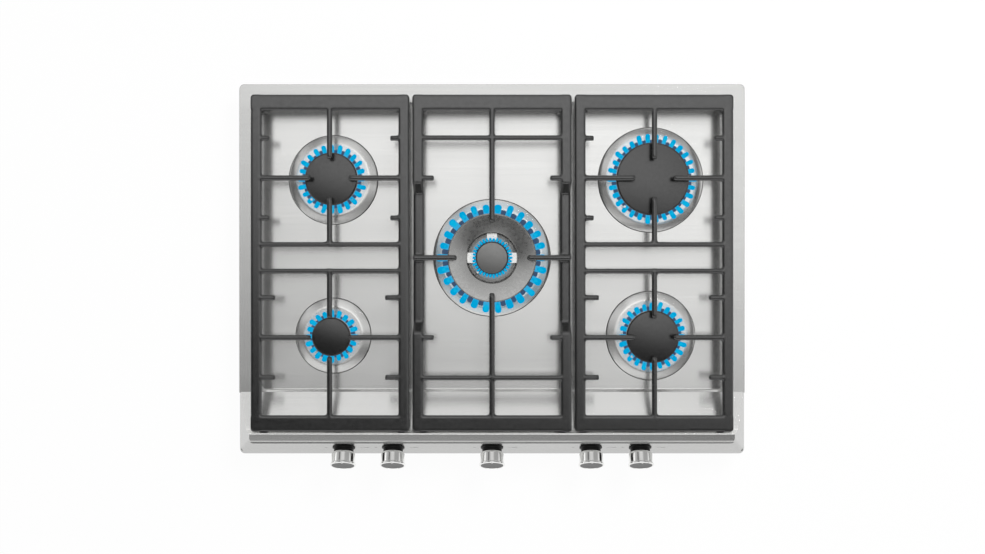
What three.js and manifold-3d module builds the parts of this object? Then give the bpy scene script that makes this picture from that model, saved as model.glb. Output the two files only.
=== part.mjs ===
// Built-in gas hob, 70 cm wide: pressed steel top with a raised front console, five burners, three
// cast-iron grates and five knobs. Millimetres, +Z up, front towards -Y. Places are measured from the
// middle of the wok burner; heights start at the underside of the bottom casing.
import * as THREE from 'three';
import { mergeVertices } from 'three/addons/utils/BufferGeometryUtils.js';
import Module from 'manifold-3d';

// ---------- driving dimensions ----------

const worktopZ = 48; // top of the worktop over the underside of the casing
const rimLift = 6; // rim over the worktop
const trayDrop = 5; // tray under the rim
const gap = 0.3; // between pieces that touch
const smallest = 0.02; // edge that is kept
const sheet = { halfWidth: 350, back: 240.5, front: 271.6, corner: 7, thick: 1.2, edge: 1.6 };
const rimWidth = { side: 30.5, back: 29.5 }; // rim beside and behind the tray
const tray = {
  halfWidth: sheet.halfWidth - rimWidth.side,
  back: sheet.back - rimWidth.back,
  front: 181.8,
  corner: 8,
  wallRun: 3.8,
};
const panelLean = 25; // of the front panel and the console's sides, degrees from upright
// rises from the rim to the console's back wall, which lies inset from the sheet's front edge
const ramp = { inset: 42.6, rise: 22.5, midRun: 4.7, midRise: 3.6, wallRun: 7.8, wallRise: 9.4 };
// top edge of the console, over the rim, with the nose in front of it
const crest = { rise: 42.3, width: 9.5, drop: 1.3, radius: 2, nose: 3, noseDrop: 4.8 };
const mound = { rise: 4.6, plateauInset: 13.5, steepRun: 3.6, steepRise: 3 };

const columnInset = 130; // side burners from the sheet's edge
const columnX = sheet.halfWidth - columnInset;
const rowY = 108;
const knobPitch = 67.5;
const burnerKinds = {
  small: { cap: 26.5, mound: 52.5, ports: 16 },
  medium: { cap: 36, mound: 62, ports: 20 },
  large: { cap: 49.75, mound: 73, ports: 24 },
  wok: { cap: 60.75, mound: 81.5, ports: 24 },
};
const burners = [
  { name: 'left_front', kind: 'small', x: -columnX, y: -rowY, knobX: -3 * knobPitch, inlet: -90 },
  { name: 'left_back', kind: 'medium', x: -columnX, y: rowY, knobX: -2 * knobPitch, inlet: 0 },
  { name: 'wok', kind: 'wok', x: 0, y: 0, knobX: 0, inlet: -90 },
  { name: 'right_back', kind: 'large', x: columnX, y: rowY, knobX: 2 * knobPitch, inlet: 180 },
  { name: 'right_front', kind: 'medium', x: columnX, y: -rowY, knobX: 3 * knobPitch, inlet: -90 },
];
// heights of a burner stack over the tray
const stack = { seat: 4.6, cupRise: 2.2, portFloor: 11.4, crownTop: 17, capTop: 27.6 };
const crown = { inset: 2.2, wall: 5, floor: 3, throat: 11, throatBore: 8, throatDrop: 9, portWidth: 2.2 };
const cap = { skirt: 3.2, edge: 3.6, crownRise: 0.8, spigot: 3.4, spigotWall: 2 };
const cup = {
  inset: 9, wall: 2.5, depth: 40, floor: 3, flange: 5, flangeThick: 2,
  boss: 6, bossLength: 9, jet: 4, jetRise: 7,
};
const wokRing = { hole: 34, slope: 4.2, innerWall: 3.4, bridge: 14, bridgeThick: 4 };
const wokInner = { cap: 22.3, ports: 12, portWidth: 1.8, crownInset: 2.3, wall: 3.5 };
const pin = {
  standOff: 3.4, radius: 1.7, top: 18, ceramic: 3.1, ceramicTop: 11.5, wire: 0.8, below: 16, ear: 10,
};

// cast-iron grates
const castIron = {
  top: 45, side: 14.2, back: 21, front: 22, depth: 10, frontDepth: 9, bevel: 1.3, draft: 0.8, corner: 2.6,
};
const overTray = { side: 6.8, back: 9.8 }; // grates beyond the tray's foot
const grateY = { back: tray.back + overTray.back, front: 235.4 };
const grateGap = 4.6;
const middleGrate = { halfWidth: 107.6, crossbar: 162.5, tipGap: 48, stub: 14.5 };
const sideGrate = {
  inner: middleGrate.halfWidth + grateGap,
  outer: tray.halfWidth + overTray.side,
  crossbar: 18,
  tipGap: 26,
  backStub: 11,
  frontStub: 18,
  stubPitch: 54,
};
const saddle = { start: 101, end: 88.5, drop: 20 }; // lowered middle of the centre grate's side bars
const rib = { width: 6.8, crossWidth: 6.3, tipDepth: 7.5, rootRun: 30, tipRound: 2.2, flare: 3.6 };
const leg = { width: 10, foot: 8, inset: 12.8, fromBack: 9, fromBend: 7 };

// knob and tap, along the tap's own axis: 0 at the panel's face, + outwards
const knobRise = 26; // knob's centre over the tray, on the panel
const pushTravel = 3;
const knob = {
  start: 7.8, end: 26.2, back: 14.9, body: 16.4, band: 17.5, bandWidth: 3.6, dish: 0.5, recess: 3.6,
};
const pointer = { width: 2.2, length: 5, depth: 1.2 }; // notch in the knob's end, towards the off mark
const bezel = { top: 7.4, radius: 13.4, foot: 15.5, footThick: 1.8, bore: 4.6 };
const stem = { radius: 3.9, flat: 1.1, socketEnd: 19, inner: -24 };
const tap = {
  top: -20, radius: 10.2, end: -52, bore: 7.1, boreEnd: 5.9, floor: 3.5, clearance: 0.15,
  nipple: 4.5, nippleLength: 7,
};

const casing = {
  halfWidth: columnX + burnerKinds.large.cap - cup.inset + cup.flange + 9.25, // clear of the largest cup
  back: tray.back - 6,
  front: sheet.front - 21.6,
  wall: 1,
  corner: 10,
  draft: 2,
};
const slot = { count: 4, width: 4, length: 60, pitch: 21, y: 62 }; // air slots in the casing's floor
const support = { width: 14, depth: 10 }; // blocks under the gas rail
const clamp = { y: 120, width: 24, thick: 2, z: 10, reach: 22, height: 30 };
const rail = { drop: 22, at: -38, radius: 7, overhang: 19.5, support: 6 };
const returnPipe = {
  inset: 9, radius: 4.5, z: 20, bend: 10, overlap: 6, lead: 14, climb: 26, turnIn: 50, shift: 20, end: 14,
};
const pipe = { radius: 3, z: 17, bend: 14, lead: 16, climb: 22, straight: 12 };
const inlet = {
  inset: 35, radius: 6.6, boreGap: 0.6, length: 21, nut: 9.5, nutWidth: 9, flange: 3, wall: 2.2, depth: 15,
};
const gland = { inset: 40, z: 24, radius: 8, length: 12, bore: 3.4, flange: 11 };
const ignition = { fromBack: 55, width: 74, depth: 38, height: 24, corner: 3, bevel: 1.5 };
const terminal = { count: 5, radius: 3, pitch: 12, fromMiddle: 8, rise: 7 };
const seal = { width: 9, corner: 3, thick: 3.3 };

const segments = { hidden: 6, small: 8, dish: 10, knob: 16, bezel: 10, mound: 18, corner: 3 };
const capSides = { small: 16, medium: 20, large: 24, wok: 24 };

// ---------- derived places ----------

const rimZ = worktopZ + rimLift;
const trayZ = rimZ - trayDrop;
const lean = THREE.MathUtils.degToRad(panelLean);
const knobZ = trayZ + knobRise;
const panelFoot = worktopZ + gap;
const knobY = -sheet.front + (knobZ - panelFoot) * Math.tan(lean);
const frontY = knobY - (knob.end - knob.dish) * Math.cos(lean) - knob.band * Math.sin(lean);
const crestZ = rimZ + crest.rise;
const frameY = -(sheet.back + frontY) / 2;
const rampStart = -(tray.front + tray.wallRun);
const rampEnd = -(sheet.front - ramp.inset);
const wallY = rampEnd - ramp.wallRun;
const legY = { back: tray.back - leg.fromBack, front: rampEnd + leg.fromBend };
const railHalf = 3 * knobPitch + rail.overhang;
const inletX = casing.halfWidth - inlet.inset;

// ---------- solids ----------

const wasm = await Module();
wasm.setup();

function signedVolume(position, index) {
  const [a, b, c] = [new THREE.Vector3(), new THREE.Vector3(), new THREE.Vector3()];
  let sum = 0;
  for (let i = 0; i < index.length; i += 3) {
    a.fromBufferAttribute(position, index[i]);
    b.fromBufferAttribute(position, index[i + 1]);
    c.fromBufferAttribute(position, index[i + 2]);
    sum += a.dot(b.cross(c));
  }
  return sum;
}

// closed mesh of any geometry, with shared vertices, no flat triangles and its faces outwards
function solid(geometry) {
  const bare = geometry.clone();
  bare.deleteAttribute('normal');
  bare.deleteAttribute('uv');
  const merged = mergeVertices(bare, 1e-4);
  const index = [];
  const source = merged.index.array;
  for (let i = 0; i < source.length; i += 3) {
    const [a, b, c] = [source[i], source[i + 1], source[i + 2]];
    if (a !== b && b !== c && c !== a) index.push(a, b, c);
  }
  if (signedVolume(merged.attributes.position, index) < 0) index.reverse();
  const mesh = new wasm.Mesh({
    numProp: 3,
    vertProperties: new Float32Array(merged.attributes.position.array),
    triVerts: new Uint32Array(index),
  });
  return new wasm.Manifold(mesh);
}

function join(...geometries) {
  return geometries.map((g) => (g.isBufferGeometry ? solid(g) : g)).reduce((a, b) => a.add(b));
}

function cut(body, ...tools) {
  return tools.reduce((rest, tool) => rest.subtract(tool.isBufferGeometry ? solid(tool) : tool), join(body));
}

function geometryOf(body) {
  const mesh = body.asOriginal().simplify(smallest).getMesh();
  const geometry = new THREE.BufferGeometry();
  geometry.setAttribute('position', new THREE.BufferAttribute(new Float32Array(mesh.vertProperties), 3));
  geometry.setIndex(new THREE.BufferAttribute(new Uint32Array(mesh.triVerts), 1));
  geometry.computeVertexNormals();
  return geometry;
}

// ---------- forms ----------

// rounded rectangle, anticlockwise, from its four sides
function roundedBox(left, right, front, back, radius, steps = segments.corner) {
  const centres = [[right - radius, back - radius], [left + radius, back - radius],
    [left + radius, front + radius], [right - radius, front + radius]];
  return centres.flatMap(([x, y], quarter) => Array.from({ length: steps + 1 }, (_, i) => {
    const angle = (quarter + i / steps) * Math.PI / 2;
    return new THREE.Vector2(x + radius * Math.cos(angle), y + radius * Math.sin(angle));
  }));
}

function circle(x, y, radius, steps = segments.small) {
  return Array.from({ length: steps }, (_, i) => {
    const angle = i / steps * 2 * Math.PI - Math.PI / 2;
    return new THREE.Vector2(x + radius * Math.cos(angle), y + radius * Math.sin(angle));
  });
}

// closed body through level outlines of as many points each, from [outline, z] pairs
function loft(rings) {
  const count = rings[0][0].length;
  const position = rings.flatMap(([outline, z]) => outline.flatMap((p) => [p.x, p.y, z]));
  const index = [];
  for (let ring = 0; ring + 1 < rings.length; ring++) {
    for (let i = 0; i < count; i++) {
      const [a, b] = [ring * count + i, ring * count + (i + 1) % count];
      index.push(a, b, b + count, a, b + count, a + count);
    }
  }
  const last = (rings.length - 1) * count;
  for (const [a, b, c] of THREE.ShapeUtils.triangulateShape(rings[0][0], [])) {
    index.push(a, c, b, last + a, last + b, last + c);
  }
  const geometry = new THREE.BufferGeometry();
  geometry.setAttribute('position', new THREE.Float32BufferAttribute(position, 3));
  geometry.setIndex(index);
  return geometry;
}

const prism = (outline, low, high) => loft([[outline, low], [outline, high]]);

const box = (x0, x1, y0, y1, z0, z1) => new THREE.BoxGeometry(x1 - x0, y1 - y0, z1 - z0)
  .translate((x0 + x1) / 2, (y0 + y1) / 2, (z0 + z1) / 2);

// body turned about +Z from [radius, height] points, at x, y
function turned(profile, x = 0, y = 0, steps = segments.small) {
  const points = profile.map(([r, z]) => new THREE.Vector2(r, z));
  return new THREE.LatheGeometry(points, steps).rotateX(Math.PI / 2).translate(x, y, 0);
}

function rod(x, y, radius, low, high, steps = segments.small) {
  return prism(circle(x, y, radius, steps), low, high);
}

// ring with a hole right through, turned about +Z
const ring = (profile, x, y, steps) => turned([...profile, profile[0]], x, y, steps);

// bar along +X through sections of [along, low, high], of one width, with bevelled top edges
function bar(stations, width, bevel = castIron.bevel) {
  const half = width / 2;
  const foot = half - castIron.draft;
  const outline = (low, high) => [[-foot, low], [foot, low], [half, high - bevel], [half - bevel, high],
    [-half + bevel, high], [-half, high - bevel]].map(([y, z]) => new THREE.Vector2(y, z));
  return loft(stations.map(([along, low, high]) => [outline(low, high), along]))
    .applyMatrix4(new THREE.Matrix4().set(0, 0, 1, 0, 1, 0, 0, 0, 0, 1, 0, 0, 0, 0, 0, 1));
}

// tube of a round section along corner points with round bends
function tube(points, radius, bend, steps, sides = 6) {
  const path = new THREE.CurvePath();
  let start = points[0].clone();
  for (let i = 1; i + 1 < points.length; i++) {
    const share = (other) => Math.min(bend / points[i].distanceTo(other), 0.5);
    const towards = (other) => points[i].clone().lerp(other, share(other));
    const before = towards(points[i - 1]);
    const after = towards(points[i + 1]);
    path.add(new THREE.LineCurve3(start, before));
    path.add(new THREE.QuadraticBezierCurve3(before, points[i], after));
    start = after;
  }
  path.add(new THREE.LineCurve3(start, points[points.length - 1]));
  const section = new THREE.Shape(circle(0, 0, radius, sides));
  return new THREE.ExtrudeGeometry(section, { steps, bevelEnabled: false, extrudePath: path });
}

// open [across, height] path moved to its right by a distance, for the inner face of a pressed sheet
function inset(path, distance) {
  const edges = path.slice(1).map(([x, z], i) => {
    const [dx, dz] = [x - path[i][0], z - path[i][1]];
    const length = Math.hypot(dx, dz);
    return { x: path[i][0] + dz / length * distance, z: path[i][1] - dx / length * distance, dx, dz };
  });
  const meet = (a, b) => {
    const across = a.dx * b.dz - a.dz * b.dx;
    if (Math.abs(across) < 1e-9) return [b.x, b.z];
    const t = ((b.x - a.x) * b.dz - (b.z - a.z) * b.dx) / across;
    return [a.x + a.dx * t, a.z + a.dz * t];
  };
  const last = edges[edges.length - 1];
  return [[edges[0].x, edges[0].z], ...edges.slice(1).map((edge, i) => meet(edges[i], edge)),
    [last.x + last.dx, last.z + last.dz]];
}

const arc = (x, z, radius, from, to, steps) => Array.from({ length: steps + 1 }, (_, i) => {
  const angle = THREE.MathUtils.degToRad(from + (to - from) * i / steps);
  return [x + radius * Math.cos(angle), z + radius * Math.sin(angle)];
});

// ---------- the assembly ----------

const hob = new THREE.Group();
hob.position.y = frameY;

const finishes = {
  brushedSteel: { color: 0xcfcfcb, roughness: 0.38, metalness: 1 },
  castIron: { color: 0x2e2e2e, roughness: 0.62, metalness: 0.1 },
  enamel: { color: 0x3f3f3f, roughness: 0.55, metalness: 0.1 },
  aluminium: { color: 0xb9bab8, roughness: 0.45, metalness: 1 },
  chrome: { color: 0xd6d6d2, roughness: 0.08, metalness: 1 },
  blackPlastic: { color: 0x111111, roughness: 0.45, metalness: 0 },
  brass: { color: 0xb08d4a, roughness: 0.4, metalness: 1 },
  galvanised: { color: 0x9a9c9c, roughness: 0.55, metalness: 1 },
  ceramic: { color: 0xe8e4da, roughness: 0.5, metalness: 0 },
  foam: { color: 0x3a3a3a, roughness: 0.95, metalness: 0 },
};

function add(name, body, finish, parent = hob) {
  const mesh = new THREE.Mesh(geometryOf(body), new THREE.MeshStandardMaterial(finishes[finish]));
  mesh.name = name;
  parent.add(mesh);
  return mesh;
}

// ---------- hob top ----------

// The outer form of the pressed sheet, with every face moved inwards by depth.
function sheetForm(depth) {
  const side = sheet.halfWidth - depth;
  const plan = (extra) => roundedBox(-side + extra, side - extra, -sheet.front + depth + extra,
    sheet.back - depth - extra, sheet.corner);
  const foot = panelFoot - (depth ? 1 : 0);
  const top = rimZ - depth;
  const eased = sheet.edge * 0.3;
  const plate = loft([[plan(0), foot], [plan(0), top - sheet.edge], [plan(eased), top - eased],
    [plan(sheet.edge), top]]);

  const slope = tray.wallRun / trayDrop;
  const trayRing = (z) => {
    const out = (z - trayZ + depth) * slope + depth;
    return [roundedBox(-tray.halfWidth - out, tray.halfWidth + out, -tray.front - out, tray.back + out,
      tray.corner + out), z];
  };
  const recess = loft([trayRing(trayZ - depth), trayRing(rimZ + 1)]);
  const mounds = burners.map((burner) => moundForm(burner, depth));
  return join(cut(plate, recess), consoleForm(depth), ...mounds);
}

function moundForm({ kind, x, y }, depth) {
  const r = burnerKinds[kind].mound - depth;
  const z = trayZ - depth;
  const plateau = [[r - mound.plateauInset, z + mound.rise], [0, z + mound.rise]];
  const face = depth ? plateau : [[r - mound.steepRun, z + mound.steepRise], ...plateau];
  return turned([[0, z - 1], [r, z - 1], [r, z], ...face], x, y, segments.mound);
}

// Ramp, wall, crest and nose drawn as one line from the back, run across the hob and cut to the
// leaning planes of the panel and of the two sides.
function consoleForm(depth) {
  const noseY = wallY - crest.width;
  const line = [
    [rampStart, rimZ],
    [rampEnd, rimZ + ramp.rise],
    [rampEnd - ramp.midRun, rimZ + ramp.rise + ramp.midRise],
    [wallY, rimZ + ramp.rise + ramp.wallRise],
    [wallY, crestZ - crest.radius],
    [wallY - crest.radius * 0.3, crestZ - crest.radius * 0.3],
    [wallY - crest.radius, crestZ],
    [noseY, crestZ - crest.drop],
    ...arc(noseY, crestZ - crest.drop - crest.nose, crest.nose, 120, 180, 2).slice(1),
    [noseY - crest.nose, crestZ - crest.noseDrop],
  ];
  const face = inset(line.map(([y, z]) => [-y, z]), depth).map(([y, z]) => [-y, z]);
  const end = face[face.length - 1];
  const beyond = -sheet.front - 5;
  const foot = panelFoot - (depth ? 1 : 0);
  const section = [...face, [beyond, end[1] - 0.5], [beyond, foot], [rampStart - depth, foot]];
  const outline = new THREE.Shape(section.map(([y, z]) => new THREE.Vector2(y, z)));
  const length = 2 * sheet.halfWidth;
  const run = new THREE.ExtrudeGeometry(outline, { depth: length, bevelEnabled: false })
    .translate(0, 0, -length / 2)
    .rotateX(Math.PI / 2).rotateZ(Math.PI / 2);

  const height = crestZ + 2 - foot;
  const ringAt = (z) => {
    const inwards = (z - panelFoot) * Math.tan(lean) + depth / Math.cos(lean);
    return [roundedBox(-sheet.halfWidth + inwards, sheet.halfWidth - inwards, -sheet.front + inwards,
      0, sheet.corner), z];
  };
  return solid(run).intersect(solid(loft([ringAt(foot), ringAt(foot + height)])));
}

const panelGroup = (x) => {
  const group = new THREE.Group();
  group.position.set(x, knobY, knobZ);
  group.rotation.x = Math.PI / 2 - lean;
  return group;
};

const placed = (geometry, group) => {
  group.updateMatrix();
  return geometry.applyMatrix4(group.matrix);
};

const pinPlaces = ({ kind, x, y }) => {
  const wok = kind === 'wok';
  const radius = wok ? (wokRing.hole + wokInner.cap) / 2 : burnerKinds[kind].cap + pin.standOff;
  const [sparkAngle, senseAngle] = wok ? [45, 225] : [-45, 225];
  const at = (degrees) => {
    const angle = THREE.MathUtils.degToRad(degrees);
    return { x: x + radius * Math.cos(angle), y: y + radius * Math.sin(angle), angle: degrees };
  };
  return { spark: at(sparkAngle), sense: at(senseAngle) };
};

// share of its radius that a many-sided hole leaves free between its flats
const dishFit = Math.cos(Math.PI / segments.dish);
const cupRadius = ({ kind }) => burnerKinds[kind].cap - cup.inset;
const cupTop = trayZ + stack.seat + stack.cupRise;

function hobTop() {
  const tools = burners.flatMap((burner) => {
    const { spark, sense } = pinPlaces(burner);
    const holeRadius = (cupRadius(burner) + gap) / dishFit;
    const hole = rod(burner.x, burner.y, holeRadius, trayZ - 5, trayZ + 10, segments.dish);
    const pins = burner.kind === 'wok' ? [] : [
      rod(spark.x, spark.y, pin.ceramic + gap, trayZ - 5, trayZ + 10, segments.hidden),
      rod(sense.x, sense.y, pin.radius + 2 * gap, trayZ - 5, trayZ + 10, segments.hidden)];
    const shaft = placed(rod(0, 0, bezel.bore + 2 * gap, -10, 10), panelGroup(burner.knobX));
    return [hole, ...pins, shaft];
  });
  return cut(sheetForm(0), sheetForm(sheet.thick), ...tools);
}

add('hob_top', hobTop(), 'brushedSteel');

// ---------- burners ----------

function portCuts(x, y, from, to, low, high, count, width) {
  return Array.from({ length: count }, (_, i) => box(from, to, -width / 2, width / 2, low, high)
    .rotateZ((i + 0.5) / count * 2 * Math.PI - Math.PI / 2)
    .translate(x, y, 0));
}

function crownBody({ kind, x, y }) {
  const outer = burnerKinds[kind].cap - crown.inset;
  const inner = outer - crown.wall;
  const low = cupTop + gap;
  const top = trayZ + stack.crownTop;
  const floor = low + crown.floor;
  const { ports } = burnerKinds[kind];
  const wall = rod(x, y, outer, low, top, ports);
  const dish = rod(x, y, inner, floor, top + 1, segments.dish);
  const throat = rod(x, y, crown.throat, trayZ - crown.throatDrop, low + 1);
  const bore = rod(x, y, crown.throatBore, trayZ - crown.throatDrop - 1, floor + 1);
  const portLow = trayZ + stack.portFloor;
  const slots = portCuts(x, y, inner - 2, outer + 2, portLow, top + 1, ports, crown.portWidth);
  return cut(join(wall, throat), dish, bore, ...slots);
}

function capBody({ kind, x, y }) {
  const r = burnerKinds[kind].cap;
  const low = trayZ + stack.crownTop + gap;
  const top = trayZ + stack.capTop;
  const profile = [[0, low], [r, low], [r, low + cap.skirt], [r - cap.edge, top - cap.crownRise], [0, top]];
  const spigot = rod(x, y, (r - crown.inset - crown.wall) * dishFit - gap, low - cap.spigot, low + 1);
  return join(turned(profile, x, y, capSides[kind]), spigot);
}

// Cup under the sheet with its jet, gas inlet boss, two ears and the thermocouple on one of them.
function cupBody(burner) {
  const { kind, x, y, inlet: inletAngle } = burner;
  const wok = kind === 'wok';
  const r = cupRadius(burner);
  const under = trayZ + mound.rise - sheet.thick - gap;
  const low = trayZ - cup.depth;
  const flange = r + cup.flange;
  const inner = r - cup.wall;
  const profile = [[0, low], [r - 2, low], [r, under - cup.flangeThick], [flange, under - cup.flangeThick],
    [flange, under], [r, under], [r, cupTop], [inner, cupTop], [inner - 2, low + cup.floor],
    [0, low + cup.floor]];
  const jetTop = low + cup.floor + cup.jetRise;
  const jet = turned([[0, low + 1], [cup.jet, low + 1], [cup.jet * 0.6, jetTop], [0, jetTop]], x, y, 4);
  const barrel = join(turned(profile, x, y, segments.small), jet);
  const boss = prism(circle(0, 0, cup.boss, segments.hidden), 0, cup.bossLength + 4)
    .rotateY(Math.PI / 2)
    .translate(r - 4, 0, pipe.z)
    .rotateZ(THREE.MathUtils.degToRad(inletAngle))
    .translate(x, y, 0);
  const { spark, sense } = pinPlaces(burner);
  if (wok) {
    const sensor = rod(sense.x, sense.y, pin.radius, low + 1, trayZ + pin.top, segments.hidden);
    const hole = rod(spark.x, spark.y, pin.ceramic + gap, low - 1, low + cup.floor + 1, segments.hidden);
    return cut(join(barrel, boss, sensor), hole);
  }
  const reach = burnerKinds[kind].cap + pin.standOff + pin.ceramic + 1;
  const ear = (angle) => box(r - 1, reach, -pin.ear / 2, pin.ear / 2, under - cup.flangeThick, under)
    .rotateZ(THREE.MathUtils.degToRad(angle))
    .translate(x, y, 0);
  const sensor = rod(sense.x, sense.y, pin.radius, under - pin.below, trayZ + pin.top, segments.hidden);
  const hole = rod(spark.x, spark.y, pin.ceramic + gap, under - 5, under + 1, segments.hidden);
  return cut(join(barrel, boss, ear(spark.angle), ear(sense.angle), sensor), hole);
}

function electrodeBody(burner) {
  const { x, y } = pinPlaces(burner).spark;
  const low = burner.kind === 'wok' ? trayZ - cup.depth - 6 : trayZ - pin.below;
  const shoulder = trayZ + pin.ceramicTop;
  return join(turned([[0, low], [pin.ceramic, low], [pin.ceramic, shoulder - 2], [pin.ceramic - 1, shoulder],
    [pin.wire, shoulder], [pin.wire, trayZ + pin.top], [0, trayZ + pin.top]], x, y, segments.hidden));
}

function wokCrownBody({ kind, x, y }) {
  const outer = burnerKinds[kind].cap - crown.inset;
  const inner = outer - crown.wall;
  const hole = wokRing.hole;
  const low = cupTop + gap;
  const top = trayZ + stack.crownTop;
  const { ports } = burnerKinds[kind];
  const bore = hole + 0.6;
  const channel = low + crown.floor;
  const outerRing = cut(rod(x, y, outer, low, top, ports), rod(x, y, bore, low - 1, top + 1, segments.knob),
    cut(rod(x, y, inner, channel, top + 1, segments.knob),
      rod(x, y, bore + wokRing.innerWall, channel - 1, top - 3.2, segments.knob)));
  const head = wokInner.cap - wokInner.crownInset;
  const throatLow = trayZ - crown.throatDrop;
  const innerCrown = ring([[crown.throatBore, throatLow], [crown.throat, throatLow],
    [crown.throat, low - 2], [head, low + 1], [head, top], [head - wokInner.wall, top],
    [head - wokInner.wall, low + 4.5], [crown.throatBore, low + 4]], x, y, wokInner.ports);
  const half = wokRing.bridge / 2;
  const bridgeLow = low + 1.2;
  const bridges = [0, 90, 180].map((angle) => box(head - 1.5, hole + 2, -half, half,
    bridgeLow, bridgeLow + wokRing.bridgeThick)
    .rotateZ(THREE.MathUtils.degToRad(angle))
    .translate(x, y, 0));
  const portLow = trayZ + stack.portFloor;
  const headWall = head - wokInner.wall;
  const cuts = [
    ...portCuts(x, y, inner - 2, outer + 2, portLow, top + 1, ports, crown.portWidth),
    ...portCuts(x, y, headWall - 2, head + 2, portLow + 1, top + 1, wokInner.ports, wokInner.portWidth)];
  return cut(join(outerRing, innerCrown, ...bridges), ...cuts);
}

function wokCapRing({ kind, x, y }) {
  const r = burnerKinds[kind].cap;
  const low = trayZ + stack.crownTop + gap;
  const top = trayZ + stack.capTop;
  const spigot = (r - crown.inset - crown.wall - gap) * Math.cos(Math.PI / burnerKinds[kind].ports) - gap;
  const hole = wokRing.hole;
  const innerTop = top - wokRing.slope;
  const profile = [[hole, low - 2.6], [hole + 3.4, low - 2.6], [spigot - cap.spigotWall, low - cap.spigot],
    [spigot, low - cap.spigot], [spigot, low], [r, low], [r, top - 2.2], [r - 3, top],
    [hole + 1.2, innerTop]];
  return join(ring(profile, x, y, capSides[kind]));
}

function wokInnerCap({ x, y }) {
  const r = wokInner.cap;
  const low = trayZ + stack.crownTop + gap;
  const top = trayZ + stack.capTop - 1;
  const spigotRadius = (r - wokInner.crownInset - wokInner.wall) * Math.cos(Math.PI / wokInner.ports) - gap;
  const spigot = rod(x, y, spigotRadius, low - cap.spigot, low + 1);
  const profile = [[0, low], [r, low], [r, top - 3.2], [r - 2.8, top - 0.5], [0, top]];
  return join(turned(profile, x, y, capSides.small), spigot);
}

for (const burner of burners) {
  const wok = burner.kind === 'wok';
  add(`${burner.name}_burner_cup`, cupBody(burner), 'aluminium');
  add(`${burner.name}_burner_crown`, wok ? wokCrownBody(burner) : crownBody(burner), 'aluminium');
  add(`${burner.name}_burner_cap`, wok ? wokCapRing(burner) : capBody(burner), 'enamel');
  if (wok) add('wok_inner_cap', wokInnerCap(burner), 'enamel');
  add(`${burner.name}_spark_electrode`, electrodeBody(burner), 'ceramic');
}

// ---------- grates ----------

const grateTop = trayZ + castIron.top;
const grateLow = grateTop - castIron.depth;

// A finger from its root at (x, y) towards angle. A long one gets shallower towards its tip, and one
// on a lowered bar stands on a post down to postLow.
function finger(x, y, angle, length, postLow = grateLow) {
  const tipLow = grateTop - rib.tipDepth;
  const post = postLow < grateLow
    ? [[0, postLow, grateTop], [castIron.side, postLow, grateTop], [castIron.side + 8, grateLow, grateTop]]
    : [[0, grateLow, grateTop]];
  const long = [...post, [length - rib.rootRun, grateLow, grateTop],
    [length - rib.tipRound, tipLow, grateTop],
    [length, tipLow + rib.tipRound * 0.3, grateTop - rib.tipRound]];
  const short = [[0, tipLow, grateTop], [length, tipLow, grateTop - rib.tipRound * 0.4]];
  return bar(length > 1.5 * rib.rootRun ? long : short, rib.width)
    .rotateZ(THREE.MathUtils.degToRad(angle))
    .translate(x, y, 0);
}

function beam(x0, y0, x1, y1, low, high, width) {
  return bar([[0, low, high], [Math.hypot(x1 - x0, y1 - y0), low, high]], width)
    .rotateZ(Math.atan2(y1 - y0, x1 - x0))
    .translate(x0, y0, 0);
}

// Web that rounds both inner corners where a bar meets another at (x, y) and leaves towards angle.
function flare(x, y, angle, width = rib.width) {
  const half = width / 2 - castIron.bevel;
  const r = rib.flare;
  const outline = [[-1, -half - r], [r, -half], [r, half], [-1, half + r]]
    .map(([s, t]) => new THREE.Vector2(s, t));
  return prism(outline, grateTop - rib.tipDepth + 0.5, grateTop - castIron.bevel)
    .rotateZ(THREE.MathUtils.degToRad(angle))
    .translate(x, y, 0);
}

// Leg that narrows to its foot, whose underside follows the slope of the surface under it.
function legBody(x, y, low, slope = 0) {
  const [half, foot] = [leg.width / 2, leg.foot / 2];
  const high = grateLow + 2;
  const side = [[-foot, low - foot * slope], [foot, low + foot * slope], [half, high], [-half, high]];
  return prism(side.map(([s, z]) => new THREE.Vector2(s, z)), -half, half)
    .rotateX(Math.PI / 2).rotateZ(Math.PI / 2)
    .translate(x, y, 0);
}

const rampSlope = ramp.rise / (rampStart - rampEnd);
const rampAt = (y) => rimZ + (rampStart - y) * rampSlope;
const rampGap = gap / Math.cos(Math.atan(rampSlope));

function outerFrame(left, right, sideBars) {
  const y0 = -grateY.front;
  const y1 = grateY.back;
  const backY = y1 - castIron.back / 2;
  const frontBarY = y0 + castIron.front / 2;
  const backBar = beam(left, backY, right, backY, grateLow, grateTop, castIron.back);
  const frontBar = beam(left, frontBarY, right, frontBarY, grateTop - castIron.frontDepth, grateTop,
    castIron.front);
  const legs = [left + leg.inset, right - leg.inset].flatMap((x) => [
    legBody(x, legY.back, trayZ + gap),
    legBody(x, legY.front, rampAt(legY.front) + rampGap, -rampSlope)]);
  const cutSide = castIron.corner / Math.SQRT2;
  const corners = [left, right].flatMap((x) => [y0, y1].map((y) => box(-cutSide, cutSide, -cutSide, cutSide,
    grateLow - 1, grateTop + 1).rotateZ(Math.PI / 4).translate(x, y, 0)));
  return join(cut(join(backBar, frontBar, ...sideBars), ...corners), ...legs);
}

const innerBack = grateY.back - castIron.back;
const innerFront = -grateY.front + castIron.front;

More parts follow.
